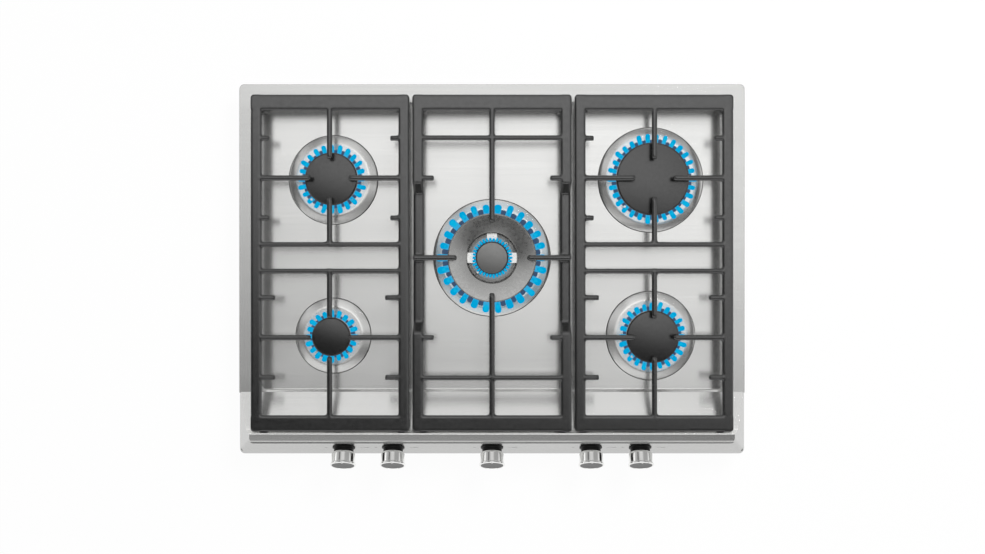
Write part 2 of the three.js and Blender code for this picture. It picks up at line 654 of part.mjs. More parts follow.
function sideGrateBody(side) {
  const left = side < 0 ? -sideGrate.outer : sideGrate.inner;
  const right = side < 0 ? -sideGrate.inner : sideGrate.outer;
  const cx = side * columnX;
  const wallL = left + castIron.side;
  const wallR = right - castIron.side;
  const barLow = grateTop - castIron.frontDepth;
  const bars = [left + castIron.side / 2, right - castIron.side / 2]
    .map((x) => beam(x, -grateY.front, x, grateY.back, barLow, grateTop, castIron.side));
  const crossbars = [-sideGrate.crossbar, sideGrate.crossbar]
    .map((y) => beam(wallL - 2, y, wallR + 2, y, grateLow, grateTop, rib.crossWidth));
  const middleRib = beam(cx, -sideGrate.crossbar, cx, sideGrate.crossbar, grateLow, grateTop, rib.width);
  const near = sideGrate.crossbar + rib.crossWidth / 2;
  const parts = [];
  const flares = [];
  for (const s of [-1, 1]) {
    const cy = s * rowY;
    const wall = s > 0 ? innerBack : -innerFront;
    const stub = s > 0 ? sideGrate.backStub : sideGrate.frontStub;
    parts.push(finger(cx, s * (wall + 2), -s * 90, wall + 2 - rowY - sideGrate.tipGap));
    parts.push(finger(cx, s * (near - 2), s * 90, rowY - sideGrate.tipGap - near + 2));
    flares.push(flare(cx, s * wall, -s * 90), flare(cx, s * near, s * 90));
    for (const [x, angle] of [[wallL, 0], [wallR, 180]]) {
      const inwards = angle ? -1 : 1;
      parts.push(finger(x - inwards * 2, cy, angle, Math.abs(cx - x) + 2 - sideGrate.tipGap));
      flares.push(flare(x, cy, angle), flare(x, s * sideGrate.crossbar, angle, rib.crossWidth));
      for (const pitch of [-1, 1]) {
        const y = cy + pitch * sideGrate.stubPitch;
        parts.push(finger(x - inwards * 2, y, angle, stub + 2));
      }
    }
  }
  return join(outerFrame(left, right, bars), ...crossbars, middleRib, ...parts, ...flares);
}

function middleGrateBody() {
  const w = middleGrate.halfWidth;
  const wall = w - castIron.side;
  const high = grateTop;
  const low = grateTop - castIron.frontDepth;
  const { start, end, drop } = saddle;
  const stations = [[-grateY.front, low, high], [-start, low, high], [-end, low - drop, high - drop],
    [end, low - drop, high - drop], [start, low, high], [grateY.back, low, high]];
  const bars = [-1, 1].map((side) => bar(stations, castIron.side)
    .rotateZ(Math.PI / 2)
    .translate(side * (w - castIron.side / 2), 0, 0));
  const crossbars = [-middleGrate.crossbar, middleGrate.crossbar]
    .map((y) => beam(-wall - 2, y, wall + 2, y, grateLow, grateTop, rib.crossWidth));
  const parts = [];
  const flares = [];
  const near = middleGrate.crossbar + rib.crossWidth / 2;
  for (const s of [-1, 1]) {
    const edge = s > 0 ? innerBack : -innerFront;
    parts.push(finger(0, s * (edge + 2), -s * 90, edge + 2 - middleGrate.tipGap));
    flares.push(flare(0, s * edge, -s * 90));
    const angle = s > 0 ? 180 : 0;
    parts.push(finger(s * (w - 0.5), 0, angle, w - 0.5 - middleGrate.tipGap, high - drop - 4));
    for (const t of [-1, 1]) {
      parts.push(finger(s * (wall + 2), t * rowY, angle, middleGrate.stub + 2));
      flares.push(flare(s * wall, t * middleGrate.crossbar, angle, rib.crossWidth));
    }
  }
  return join(outerFrame(-w, w, bars), ...crossbars, ...parts, ...flares);
}

add('grate_left', sideGrateBody(-1), 'castIron');
add('grate_centre', middleGrateBody(), 'castIron');
add('grate_right', sideGrateBody(1), 'castIron');

// ---------- knobs and taps ----------

function knobBody() {
  const { start, end, back, body, band, bandWidth, dish, recess } = knob;
  const outside = turned([[0, start], [back, start], [body, start + 2.2], [body, end - bandWidth],
    [band, end - bandWidth + 1], [band, end - dish], [band - 1.2, end], [0, end]], 0, 0, segments.knob);
  const hollowRadius = (bezel.radius + gap) / Math.cos(Math.PI / segments.bezel);
  const hollow = rod(0, 0, hollowRadius, start - 1, start + recess, segments.bezel);
  const socket = rod(0, 0, stem.radius + 2 * gap, start, stem.socketEnd);
  const half = pointer.width / 2;
  const notch = box(-half, half, band - pointer.length, band + 1, end - pointer.depth, end + 1);
  return cut(outside, hollow, socket, notch);
}

function bezelBody() {
  const { top, radius, foot, footThick, bore } = bezel;
  const profile = [[bore, gap], [foot, gap], [radius, footThick], [radius, top], [bore, top]];
  return join(ring(profile, 0, 0, segments.bezel));
}

function stemBody() {
  const shaft = rod(0, 0, stem.radius, stem.inner, stem.socketEnd - gap);
  return cut(shaft, box(stem.radius - stem.flat, 10, -10, 10, 8, 30));
}

// Tapered plug that turns in the body's bore; both have the same number of sides.
function plugBody() {
  const fit = Math.cos(Math.PI / segments.small);
  const [low, high] = [tap.end + tap.floor + gap, tap.top - 1];
  const taper = (tap.bore - tap.boreEnd) / (tap.top - tap.end - tap.floor);
  const radiusAt = (z) => (tap.boreEnd + taper * (z - tap.end - tap.floor)) * fit - tap.clearance;
  const socket = (stem.radius + gap) / fit;
  const socketLow = stem.inner - pushTravel - 1;
  return join(turned([[0, low], [radiusAt(low), low], [radiusAt(high), high], [socket, high],
    [socket, socketLow], [0, socketLow]]));
}

// Tap body with its outlet nipple at the end and its saddle on the gas rail.
function tapBody() {
  const { top, radius, end, bore, boreEnd, floor, nipple, nippleLength } = tap;
  const shell = turned([[0, end], [radius - 2.5, end], [radius, end + 6], [radius, top], [bore, top],
    [boreEnd, end + floor], [0, end + floor]]);
  const outlet = rod(0, 0, nipple, end - nippleLength, end + 1, 6);
  const half = rail.support;
  const onRail = -rail.drop + rail.radius + gap;
  const saddleBlock = box(-half, half, onRail, -radius + 2, rail.at - half, rail.at + half);
  return join(shell, outlet, saddleBlock);
}

for (const { name, knobX } of burners) {
  const group = panelGroup(knobX);
  hob.add(group);
  add(`${name}_knob`, knobBody(), 'chrome', group);
  add(`${name}_knob_bezel`, bezelBody(), 'blackPlastic', group);
  add(`${name}_tap_stem`, stemBody(), 'brass', group);
  add(`${name}_tap_plug`, plugBody(), 'brass', group);
  add(`${name}_tap_body`, tapBody(), 'brass', group);
}

// ---------- gas supply ----------

// a point on the tap's axis, and one off it, in the hob's own directions
const onTap = (x, along, up = 0) => new THREE.Vector3(x,
  knobY - along * Math.cos(lean) + up * Math.sin(lean), knobZ + along * Math.sin(lean) + up * Math.cos(lean));

const railPlace = onTap(0, rail.at, -rail.drop);

const returnEnd = casing.back - casing.wall - returnPipe.end;

// Rail under the taps and the pipe that comes to it from the inlet, along the casing's right side.
function railBody() {
  const { radius, z, bend, overlap, lead, climb, turnIn, shift } = returnPipe;
  const sideX = casing.halfWidth - returnPipe.inset;
  const turnY = casing.back - turnIn;
  const main = rod(0, 0, rail.radius, -railHalf, railHalf)
    .rotateY(Math.PI / 2)
    .translate(0, railPlace.y, railPlace.z);
  const loop = tube([
    new THREE.Vector3(railHalf - overlap, railPlace.y, railPlace.z),
    new THREE.Vector3(sideX - lead, railPlace.y, railPlace.z),
    new THREE.Vector3(sideX, railPlace.y + climb, z),
    new THREE.Vector3(sideX, turnY, z),
    new THREE.Vector3(inletX, turnY + shift, z),
    new THREE.Vector3(inletX, returnEnd, z)], radius, bend, 18);
  return join(main, loop);
}

function inletBody() {
  const start = returnEnd + gap;
  const outside = casing.back + inlet.length;
  const face = casing.back + gap;
  const along = (body) => body.rotateX(-Math.PI / 2).translate(inletX, 0, returnPipe.z);
  const shank = along(rod(0, 0, inlet.radius, start, outside));
  const nut = along(rod(0, 0, inlet.nut - 3, start, start + inlet.nutWidth, segments.hidden));
  const flange = along(rod(0, 0, inlet.nut, face, face + inlet.flange, segments.hidden));
  const bore = along(rod(0, 0, inlet.radius - inlet.wall, outside - inlet.depth, outside + 1));
  return cut(join(shank, nut, flange), bore);
}

function pipeBody({ kind, x, y, knobX, inlet: angle }) {
  const direction = THREE.MathUtils.degToRad(angle);
  const reach = cupRadius({ kind }) + cup.bossLength + gap;
  const target = new THREE.Vector3(x + reach * Math.cos(direction), y + reach * Math.sin(direction), pipe.z);
  const nippleEnd = tap.end - tap.nippleLength - gap;
  const start = onTap(knobX, nippleEnd);
  const lead = onTap(knobX, nippleEnd - pipe.lead);
  const low = new THREE.Vector3(knobX, lead.y + pipe.climb, pipe.z);
  const toFront = angle === -90;
  const points = toFront
    ? [start, lead, new THREE.Vector3(x, target.y - pipe.straight, pipe.z), target]
    : [start, lead, low, new THREE.Vector3(knobX, target.y, pipe.z), target];
  return join(tube(points, pipe.radius, pipe.bend, toFront ? 6 : 14));
}

add('gas_rail', railBody(), 'galvanised');
add('inlet_elbow', inletBody(), 'brass');
for (const burner of burners) add(`${burner.name}_feed_pipe`, pipeBody(burner), 'aluminium');

// ---------- casing, ignition module and seal ----------

// Box with its air slots, rail supports, four clamp brackets, the inlet's hole and the mains gland.
function casingBody() {
  const { halfWidth, back, front, wall, corner, draft } = casing;
  const top = trayZ - sheet.thick - gap;
  const plan = (inwards) => roundedBox(-halfWidth + inwards, halfWidth - inwards, -front + inwards,
    back - inwards, corner, 2);
  const outside = loft([[plan(draft), 0], [plan(0), top]]);
  const inside = loft([[plan(draft + wall), wall], [plan(wall), top + 1]]);
  const supportTop = railPlace.z - rail.radius - gap;
  const [halfX, halfY] = [support.width / 2, support.depth / 2];
  const supports = [-2.5, -1, 1, 2.5].map((place) => place * knobPitch)
    .map((x) => box(x - halfX, x + halfX, railPlace.y - halfY, railPlace.y + halfY, wall / 2, supportTop));
  const slots = Array.from({ length: slot.count }, (_, i) => {
    const x = (i - (slot.count - 1) / 2) * slot.pitch;
    return box(x - slot.width / 2, x + slot.width / 2, slot.y, slot.y + slot.length, -1, wall + 1);
  });
  const clamps = [-1, 1].flatMap((side) => [-clamp.y, clamp.y].map((y) => clampBody(side, y)));
  const through = (x, z, body) => body.rotateX(-Math.PI / 2).translate(x, 0, z);
  const inletRod = rod(0, 0, inlet.radius + inlet.boreGap, back - 10, back + 10);
  const inletHole = through(inletX, returnPipe.z, inletRod);
  const glandX = -halfWidth + gland.inset;
  const glandOut = through(glandX, gland.z, rod(0, 0, gland.radius, back - 3, back + gland.length));
  const glandRim = through(glandX, gland.z, rod(0, 0, gland.flange, back - 1.5, back + 2, segments.hidden));
  const glandBore = through(glandX, gland.z, rod(0, 0, gland.bore, back - 10, back + gland.length + 1));
  const shell = cut(outside, inside);
  return cut(join(shell, ...supports, ...clamps, glandOut, glandRim), glandBore, inletHole, ...slots);
}

// L bracket on the casing's side wall, whose tongue grips under the worktop.
function clampBody(side, y) {
  const { halfWidth, draft } = casing;
  const half = clamp.width / 2;
  const root = halfWidth - draft * 0.6;
  const plate = box(root, halfWidth + clamp.thick, -half, half, clamp.z, clamp.z + clamp.height);
  const tongue = box(root, halfWidth + clamp.reach, -half, half, clamp.z, clamp.z + clamp.thick);
  const turn = side > 0 ? 0 : Math.PI;
  return join(...[plate, tongue].map((part) => part.rotateZ(turn).translate(0, y, 0)));
}

function moduleBody() {
  const { width, depth, height, corner, bevel } = ignition;
  const y = casing.back - ignition.fromBack;
  const low = casing.wall + gap;
  const top = low + height;
  const plan = (inwards) => roundedBox(-width / 2 + inwards, width / 2 - inwards, y - depth / 2 + inwards,
    y + depth / 2 - inwards, corner, 1);
  const block = loft([[plan(0), low], [plan(0), top - bevel], [plan(bevel), top]]);
  const posts = Array.from({ length: terminal.count }, (_, i) => {
    const x = (i - (terminal.count - 1) / 2) * terminal.pitch;
    return rod(x, y - terminal.fromMiddle, terminal.radius, top - 1, top + terminal.rise, segments.hidden);
  });
  return join(block, ...posts);
}

// Foam strip round the worktop's cut-out, clear of the leaning panel at the front.
function sealBody() {
  const outer = sheet.thick + gap;
  const side = sheet.halfWidth - outer;
  const top = rimZ - sheet.thick - gap;
  const clearPanel = (top - worktopZ) * Math.tan(lean) + 2 * gap;
  const plan = (inwards, front, radius) => roundedBox(-side + inwards, side - inwards,
    -sheet.front + outer + front, sheet.back - outer - inwards, radius);
  const width = seal.width + clearPanel;
  return cut(prism(plan(0, clearPanel, sheet.corner), worktopZ, worktopZ + seal.thick),
    prism(plan(width, width, seal.corner), worktopZ - 1, top + 1));
}

add('bottom_casing', casingBody(), 'galvanised');
add('ignition_module', moduleBody(), 'blackPlastic');
add('rim_seal', sealBody(), 'foam');

export default hob;
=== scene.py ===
import math
from collections import namedtuple

import bmesh
import bpy
from mathutils import Matrix, Vector


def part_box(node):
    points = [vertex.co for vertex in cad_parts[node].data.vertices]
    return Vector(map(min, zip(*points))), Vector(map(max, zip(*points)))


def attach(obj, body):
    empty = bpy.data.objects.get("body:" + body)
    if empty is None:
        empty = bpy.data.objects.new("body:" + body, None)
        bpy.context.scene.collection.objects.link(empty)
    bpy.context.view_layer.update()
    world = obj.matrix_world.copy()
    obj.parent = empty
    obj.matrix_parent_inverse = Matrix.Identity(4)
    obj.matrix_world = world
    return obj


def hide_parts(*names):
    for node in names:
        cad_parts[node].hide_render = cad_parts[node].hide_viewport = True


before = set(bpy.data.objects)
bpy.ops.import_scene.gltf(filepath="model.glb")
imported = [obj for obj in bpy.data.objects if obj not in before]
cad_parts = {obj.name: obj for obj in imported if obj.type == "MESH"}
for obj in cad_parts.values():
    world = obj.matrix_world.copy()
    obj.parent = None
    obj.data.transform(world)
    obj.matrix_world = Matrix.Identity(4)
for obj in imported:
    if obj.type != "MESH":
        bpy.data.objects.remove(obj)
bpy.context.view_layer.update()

# ---------- sizes shared with the CAD part ----------

RIM, TRAY = 54.0, 49.0
SHEET_HALF, SHEET_BACK, SHEET_FRONT, SHEET_CORNER, SHEET_THICK = 350.0, 240.5, 271.6, 7.0, 1.2
TRAY_HALF, TRAY_BACK, TRAY_FRONT, TRAY_CORNER, TRAY_RUN = 319.5, 211.0, 181.8, 8.0, 3.8
LEAN = math.radians(25)
RAMP_END, RAMP_RISE, WALL_Y = -229.0, 22.5, -236.8
CREST_Z, CREST_WIDTH, CREST_DROP = 96.3, 9.5, 1.3
NOSE, LEDGE_DROP, PANEL_FOOT = 3.0, 4.8, 48.3
COLUMN, ROW = 220.0, 108.0
CUP_TOP = TRAY + 6.8
PORT_FLOOR, CROWN_TOP, CAP_LOW, CAP_TOP = TRAY + 11.4, TRAY + 17.0, TRAY + 17.3, TRAY + 27.6
KNOB_Z = TRAY + 26.0
KNOB_Y = -SHEET_FRONT + (KNOB_Z - PANEL_FOOT) * math.tan(LEAN)

# radii of the cap, of the mound in the sheet and of the cup; numbers of ports and of flames; length of a
# flame; place of the knob
Burner = namedtuple("Burner", "name x y cap mound cup ports tongues flame knob_x")
BURNERS = (
    Burner("left_front", -COLUMN, -ROW, 26.5, 52.5, 17.5, 20, 20, 13.0, -202.5),
    Burner("left_back", -COLUMN, ROW, 36.0, 62.0, 27.0, 24, 24, 14.5, -135.0),
    Burner("wok", 0.0, 0.0, 60.75, 81.5, 51.75, 28, 26, 18.0, 0.0),
    Burner("right_back", COLUMN, ROW, 49.75, 73.0, 40.75, 30, 30, 14.5, 135.0),
    Burner("right_front", COLUMN, -ROW, 36.0, 62.0, 27.0, 24, 24, 14.5, 202.5),
)
# the hole in the wok's ring cap, the fall of its top towards the hole, and the inner cap's radius
WOK_HOLE, WOK_SLOPE, WOK_INNER = 34.0, 4.2, 22.3

CROWN_FOOT, CROWN_BASE = TRAY - 9, CUP_TOP + 0.3
CAP_OVERHANG, CROWN_WALL, BRIDGE_HALF = 2.2, 5, 7
PORT_WIDTH, INNER_PORT_WIDTH, INNER_PORTS = 2.2, 1.4, 34
# radii of the holes for electrodes, thermocouples, the two pins of the wok burner, and tap stems
SPARK_HOLE, SENSE_HOLE, WOK_PIN_HOLE, STEM_HOLE = 3.4, 2.3, 3.8, 5.2

# sizes that only the dressed model has; the skin's are in metres, and a share of its faces is kept
FLAME_Z, FLAME_WIDTH, WOK_FLAME_WIDTH = PORT_FLOOR + 2.4, 6.8, 9.6
INNER_FLAME, INNER_FLAME_WIDTH = 7.0, 3.4
LEAST_TONGUE, MOST_TONGUE = (0.86, 0.88, 0.9), (1.1, 1.1, 1.15)
SKIN_VOXEL, SKIN_GAIN, SKIN_FACES = 0.0014, 0.0004, 0.7
OPEN_DEEP, OPEN_WIDE = 14.8, 8  # half sizes of the cut that opens the middle of a side grate

wok_low, wok_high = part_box("wok_burner_crown")
HOB_Y = (wok_low.y + wok_high.y) / 2
TO_FRAME = Matrix.Translation((0, HOB_Y, 0)) @ Matrix.Scale(0.001, 4)


# ---------- meshes ----------

def link(name, mesh):
    """Puts a mesh into the scene as an object."""
    obj = bpy.data.objects.new(name, mesh)
    bpy.context.scene.collection.objects.link(obj)
    return obj


def shape(verts, faces):
    """Object from points and faces, with its faces turned outwards."""
    mesh = bpy.data.meshes.new("form")
    mesh.from_pydata([tuple(v) for v in verts], [], faces)
    mesh.update()
    bm = bmesh.new()
    bm.from_mesh(mesh)
    bmesh.ops.recalc_face_normals(bm, faces=bm.faces)
    bm.to_mesh(mesh)
    bm.free()
    return link("form", mesh)


def skinned(rows):
    """Closed form over rows of as many points each, with its ends filled."""
    count = len(rows[0])
    last = (len(rows) - 1) * count
    verts = [point for row in rows for point in row]
    faces = []
    for low in range(0, last, count):
        for i in range(count):
            j = (i + 1) % count
            faces.append((low + i, low + j, low + count + j, low + count + i))
    faces.append(tuple(reversed(range(count))))
    faces.append(tuple(range(last, last + count)))
    return shape(verts, faces)


def loft(rings):
    """Closed form through level outlines of as many points each, from (outline, z) pairs."""
    return skinned([[(x, y, z) for x, y in outline] for outline, z in rings])


def turned(profile, steps, x=0.0, y=0.0, closed=False):
    """Form turned about an upright line from (radius, z) points; a closed profile makes a ring."""
    verts, rows = [], []
    for radius, z in profile:
        if radius < 1e-6:
            rows.append([len(verts)] * steps)
            verts.append((x, y, z))
            continue
        rows.append(list(range(len(verts), len(verts) + steps)))
        for i in range(steps):
            angle = 2 * math.pi * i / steps
            verts.append((x + radius * math.cos(angle), y + radius * math.sin(angle), z))
    pairs = list(zip(rows, rows[1:]))
    if closed:
        pairs.append((rows[-1], rows[0]))
    faces = []
    for a, b in pairs:
        for i in range(steps):
            j = (i + 1) % steps
            face = []
            for v in (a[i], a[j], b[j], b[i]):
                if v not in face:
                    face.append(v)
            if len(face) > 2:
                faces.append(tuple(face))
    return shape(verts, faces)


def filleted(points, radii, steps=5, closed=False):
    """Line or outline with its corners rounded; a radius of 0 keeps a corner sharp."""
    out = []
    count = len(points)
    for i, (point, radius) in enumerate(zip(points, radii)):
        ends = not closed and i in (0, count - 1)
        if ends or radius <= 0:
            out.append(point)
            continue
        here = Vector(point)
        before = Vector(points[i - 1]) - here
        after = Vector(points[(i + 1) % count]) - here
        turn = before.angle(after)
        reach = min(radius / math.tan(turn / 2), before.length * 0.49, after.length * 0.49)
        start = here + before.normalized() * reach
        end = here + after.normalized() * reach
        for k in range(steps + 1):
            t = k / steps
            bent = start * (1 - t) ** 2 + here * 2 * t * (1 - t) + end * t ** 2
            out.append(tuple(bent))
    return out


def rounded_plan(left, right, front, back, radius, steps):
    """Outline of a rectangle with round corners."""
    outline = []
    centres = ((right - radius, back - radius), (left + radius, back - radius),
               (left + radius, front + radius), (right - radius, front + radius))
    for quarter, (x, y) in enumerate(centres):
        for i in range(steps + 1):
            angle = (quarter + i / steps) * math.pi / 2
            outline.append((x + radius * math.cos(angle), y + radius * math.sin(angle)))
    return outline


def circle(x, y, radius, steps):
    """Outline of a disc."""
    angles = [2 * math.pi * i / steps for i in range(steps)]
    return [(x + radius * math.cos(angle), y + radius * math.sin(angle)) for angle in angles]


def rod(x, y, radius, low, high, steps=32):
    """Upright cylinder."""
    return loft([(circle(x, y, radius, steps), low), (circle(x, y, radius, steps), high)])


def moved(obj, matrix):
    """Moves the form itself, so that its object stays at the origin."""
    obj.data.transform(matrix)
    if matrix.determinant() < 0:
        obj.data.flip_normals()
    return obj


def evaluated(obj):
    """The object's mesh with its modifiers applied."""
    bpy.context.view_layer.update()
    mesh = bpy.data.meshes.new_from_object(obj.evaluated_get(bpy.context.evaluated_depsgraph_get()))
    obj.modifiers.clear()
    obj.data = mesh
    return obj


def combine(obj, others, operation):
    """Boolean of a form with others, which are used up."""
    for other in others:
        modifier = obj.modifiers.new("join", "BOOLEAN")
        modifier.operation = operation
        modifier.solver = "MANIFOLD"
        modifier.object = other
    evaluated(obj)
    for other in others:
        bpy.data.objects.remove(other)
    return obj


def merged(objects):
    """One object with the meshes and materials of several, which stay separate shells."""
    bm = bmesh.new()
    materials = []
    for obj in objects:
        start = len(bm.faces)
        bm.from_mesh(obj.data)
        bm.faces.ensure_lookup_table()
        slots = list(obj.data.materials) or [None]
        for face in bm.faces[start:]:
            material = slots[min(face.material_index, len(slots) - 1)]
            if material not in materials:
                materials.append(material)
            face.material_index = materials.index(material)
    mesh = bpy.data.meshes.new("merged")
    bm.to_mesh(mesh)
    bm.free()
    for material in materials:
        if material is not None:
            mesh.materials.append(material)
    for obj in objects:
        bpy.data.objects.remove(obj)
    return link("merged", mesh)


def dress(obj, name, body, material=None, stands_for=(), crease=32, in_frame=False,
          even=False):
    """Names a finished form, brings it into the frame and lets it ride on its body."""
    if not in_frame:
        obj.data.transform(TO_FRAME)
    if material is not None:
        obj.data.materials.clear()
        obj.data.materials.append(material)
    obj.data.shade_smooth()
    obj.data.set_sharp_from_angle(angle=math.radians(crease))
    if even:
        normals = obj.modifiers.new("even", "WEIGHTED_NORMAL")
        normals.mode = "FACE_AREA"
        normals.weight = 100
        normals.keep_sharp = True
        evaluated(obj)
    obj.name = name
    obj.data.name = name
    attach(obj, body)
    if stands_for:
        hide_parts(*stands_for)
    return obj


# ---------- finishes ----------

class Finish:
    """A Principled material whose pattern comes from noise on Object coordinates."""

    def __init__(self, name, color, metallic, roughness, **sockets):
        self.material = bpy.data.materials.new(name)
        self.material.use_nodes = True
        self.nodes = self.material.node_tree.nodes
        self.links = self.material.node_tree.links
        self.shader = self.nodes["Principled BSDF"]
        self.shader.inputs["Base Color"].default_value = (*color, 1)
        self.shader.inputs["Metallic"].default_value = metallic
        self.shader.inputs["Roughness"].default_value = roughness
        for socket, value in sockets.items():
            self.shader.inputs[socket.replace("_", " ")].default_value = value

    def grain(self, scale, stretch=(1, 1, 1), detail=3.0, rough=0.6, kind="ShaderNodeTexNoise"):
        """Grey value of a noise whose coordinates are stretched."""
        place = self.nodes.new("ShaderNodeTexCoord")
        mapping = self.nodes.new("ShaderNodeMapping")
        mapping.inputs["Scale"].default_value = stretch
        noise = self.nodes.new(kind)
        noise.inputs["Scale"].default_value = scale
        self.links.new(place.outputs["Object"], mapping.inputs["Vector"])
        self.links.new(mapping.outputs["Vector"], noise.inputs["Vector"])
        if kind == "ShaderNodeTexNoise":
            noise.inputs["Detail"].default_value = detail
            noise.inputs["Roughness"].default_value = rough
            return noise.outputs["Fac"]
        return noise.outputs["Distance"]

    def spread(self, value, low, high, start=0.3, end=0.7):
        """A noise brought from its range start..end to low..high."""
        node = self.nodes.new("ShaderNodeMapRange")
        node.inputs["From Min"].default_value = start
        node.inputs["From Max"].default_value = end
        node.inputs["To Min"].default_value = low
        node.inputs["To Max"].default_value = high
        self.links.new(value, node.inputs["Value"])
        return node.outputs["Result"]

    def tint(self, value, low, high, start=0.3, end=0.7):
        """Base colour between two colours, by a noise."""
        ramp = self.nodes.new("ShaderNodeValToRGB")
        ramp.color_ramp.elements[0].position = start
        ramp.color_ramp.elements[1].position = end
        ramp.color_ramp.elements[0].color = (*low, 1)
        ramp.color_ramp.elements[1].color = (*high, 1)
        self.links.new(value, ramp.inputs["Fac"])
        self.links.new(ramp.outputs["Color"], self.shader.inputs["Base Color"])
        return self

    def roughen(self, value, low, high, start=0.3, end=0.7):
        """Roughness between two values, by a noise."""
        self.links.new(self.spread(value, low, high, start, end), self.shader.inputs["Roughness"])
        return self

    def relief(self, value, depth, strength=1.0):
        """Bump of a depth in metres."""
        bump = self.nodes.new("ShaderNodeBump")
        bump.inputs["Distance"].default_value = depth
        bump.inputs["Strength"].default_value = strength
        previous = self.shader.inputs["Normal"].links
        if previous:
            self.links.new(previous[0].from_socket, bump.inputs["Normal"])
        self.links.new(value, bump.inputs["Height"])
        self.links.new(bump.outputs["Normal"], self.shader.inputs["Normal"])
        return self


def grey(value):
    """Grey with a trace of warmth."""
    return (value, value, value * 0.985)


def brushed_steel(name, tone):
    """Stainless sheet brushed from left to right."""
    finish = Finish(name, grey(tone), 0.93, 0.25, Anisotropic=0.72, Anisotropic_Rotation=0.25)
    fine = finish.grain(60, (0.04, 26, 26), 3.0, 0.7)
    broad = finish.grain(9, (0.5, 4, 4), 2.0)
    finish.tint(fine, grey(tone * 0.96), grey(tone * 1.04))
    finish.roughen(broad, 0.24, 0.26)
    finish.relief(fine, 0.00001, 0.25)
    tangent = finish.nodes.new("ShaderNodeTangent")
    tangent.direction_type = "UV_MAP"
    tangent.uv_map = "grain"
    finish.links.new(tangent.outputs["Tangent"], finish.shader.inputs["Tangent"])
    return finish.material


def cast_iron():
    """Enamelled casting: fine pits over a slow unevenness."""
    finish = Finish("enamelled_cast_iron", grey(0.01), 0.0, 0.22, IOR=1.93)
    pits = finish.grain(1300, detail=3.0)
    uneven = finish.grain(160, detail=2.0)
    finish.tint(pits, grey(0.004), grey(0.012))
    finish.roughen(uneven, 0.18, 0.26)
    finish.relief(pits, 0.00016, 0.4)
    finish.relief(uneven, 0.0002, 0.25)
    return finish.material


def enamel(name, low, high, rough, metallic=0.0, bend=1.8, depth=0.00009):
    """Vitreous enamel of a burner cap: a fine orange-peel with tiny specks."""
    finish = Finish(name, high, metallic, rough, IOR=bend)
    specks = finish.grain(900, detail=4.0, rough=0.7)
    peel = finish.grain(260, detail=1.5)
    finish.tint(specks, low, high, 0.35, 0.65)
    finish.roughen(peel, rough - 0.03, rough + 0.04)
    finish.relief(specks, depth, 0.3)
    finish.relief(peel, depth * 1.3, 0.2)
    return finish.material


def cast_metal(name, low, high, rough_low, rough_high, depth=0.00025):
    """Bare metal with a grainy skin and slow patches."""
    finish = Finish(name, high, 1.0, rough_high)
    skin = finish.grain(700, detail=4.0)
    patches = finish.grain(45, detail=3.0)
    finish.tint(patches, low, high)
    finish.roughen(skin, rough_low, rough_high)
    finish.relief(skin, depth, 0.4)
    return finish.material


def chrome():
    """Bright plating with a faint haze."""
    finish = Finish("polished_chrome", grey(0.88), 1.0, 0.07)
    haze = finish.grain(60, detail=3.0)
    finish.tint(haze, grey(0.84), grey(0.92))
    finish.roughen(haze, 0.05, 0.1)
    return finish.material


def satin_face():
    """Spun end face of a knob."""
    finish = Finish("satin_knob_face", grey(0.13), 1.0, 0.35)
    spun = finish.grain(900, (0.15, 1, 1), 3.0)
    finish.tint(spun, grey(0.075), grey(0.095))
    finish.roughen(spun, 0.3, 0.42)
    return finish.material


def moulded(name, color, rough, shine=0.5):
    """Plastic, foam, ceramic or print with a fine grain."""
    finish = Finish(name, color, 0.0, rough, Specular_IOR_Level=shine)
    skin = finish.grain(1500, detail=2.0)
    finish.tint(skin, tuple(c * 0.85 for c in color), color)
    finish.roughen(skin, rough - 0.05, rough + 0.08)
    finish.relief(skin, 0.00006, 0.3)
    return finish.material


def galvanised():
    """Zinc-coated sheet with its spangle."""
    finish = Finish("galvanised_sheet", grey(0.5), 1.0, 0.45)
    spangle = finish.grain(90, kind="ShaderNodeTexVoronoi")
    finish.tint(spangle, grey(0.42), grey(0.58), 0.0, 0.8)
    finish.roughen(spangle, 0.36, 0.52, 0.0, 0.8)
    return finish.material


def glow(name, color, strength, alpha):
    """Plain light with a plain see-through: burning gas, and the painted shade and painted glow round the
    flames.
    """
    finish = Finish(name, (0, 0, 0), 0.0, 1.0, Specular_IOR_Level=0.0, Alpha=alpha,
                    Emission_Strength=strength)
    finish.shader.inputs["Emission Color"].default_value = (*color, 1)
    return finish.material


STEEL = brushed_steel("brushed_stainless", 0.84)
RIM_STEEL = brushed_steel("brushed_stainless_rim", 0.7)
PANEL_STEEL = brushed_steel("brushed_stainless_panel", 0.52)
RAMP_STEEL = brushed_steel("brushed_stainless_ramp", 0.95)
# painted shade: dark metal on the narrow faces at the foot of each mound stands for a shadow line round it
MOUND_FOOT_SHADE = cast_metal("shaded_seam", grey(0.16), grey(0.22), 0.3, 0.4, 0.00005)
IRON = cast_iron()
CAP_ENAMEL = enamel("black_cap_enamel", grey(0.004), grey(0.012), 0.2)
WOK_ENAMEL = enamel("satin_wok_ring", grey(0.41), grey(0.43), 0.28, metallic=1.0, depth=0.000008)
INNER_ENAMEL = enamel("satin_inner_cap", grey(0.24), grey(0.27), 0.32, metallic=1.0, depth=0.00001)
CROWN_METAL = cast_metal("cast_aluminium", grey(0.34), grey(0.46), 0.4, 0.55)
BRIGHT_METAL = cast_metal("machined_aluminium", grey(0.72), grey(0.82), 0.22, 0.34, 0.00006)
CHROME = chrome()
KNOB_FACE = satin_face()
BLACK = moulded("black_moulding", (0.005, 0.005, 0.005), 0.35, 0.12)
FOAM = moulded("seal_foam", (0.03, 0.03, 0.03), 0.85)
CERAMIC = moulded("white_ceramic", (0.74, 0.72, 0.66), 0.3)
STEEL_PIN = cast_metal("steel_pin", grey(0.4), grey(0.5), 0.25, 0.35, 0.00005)
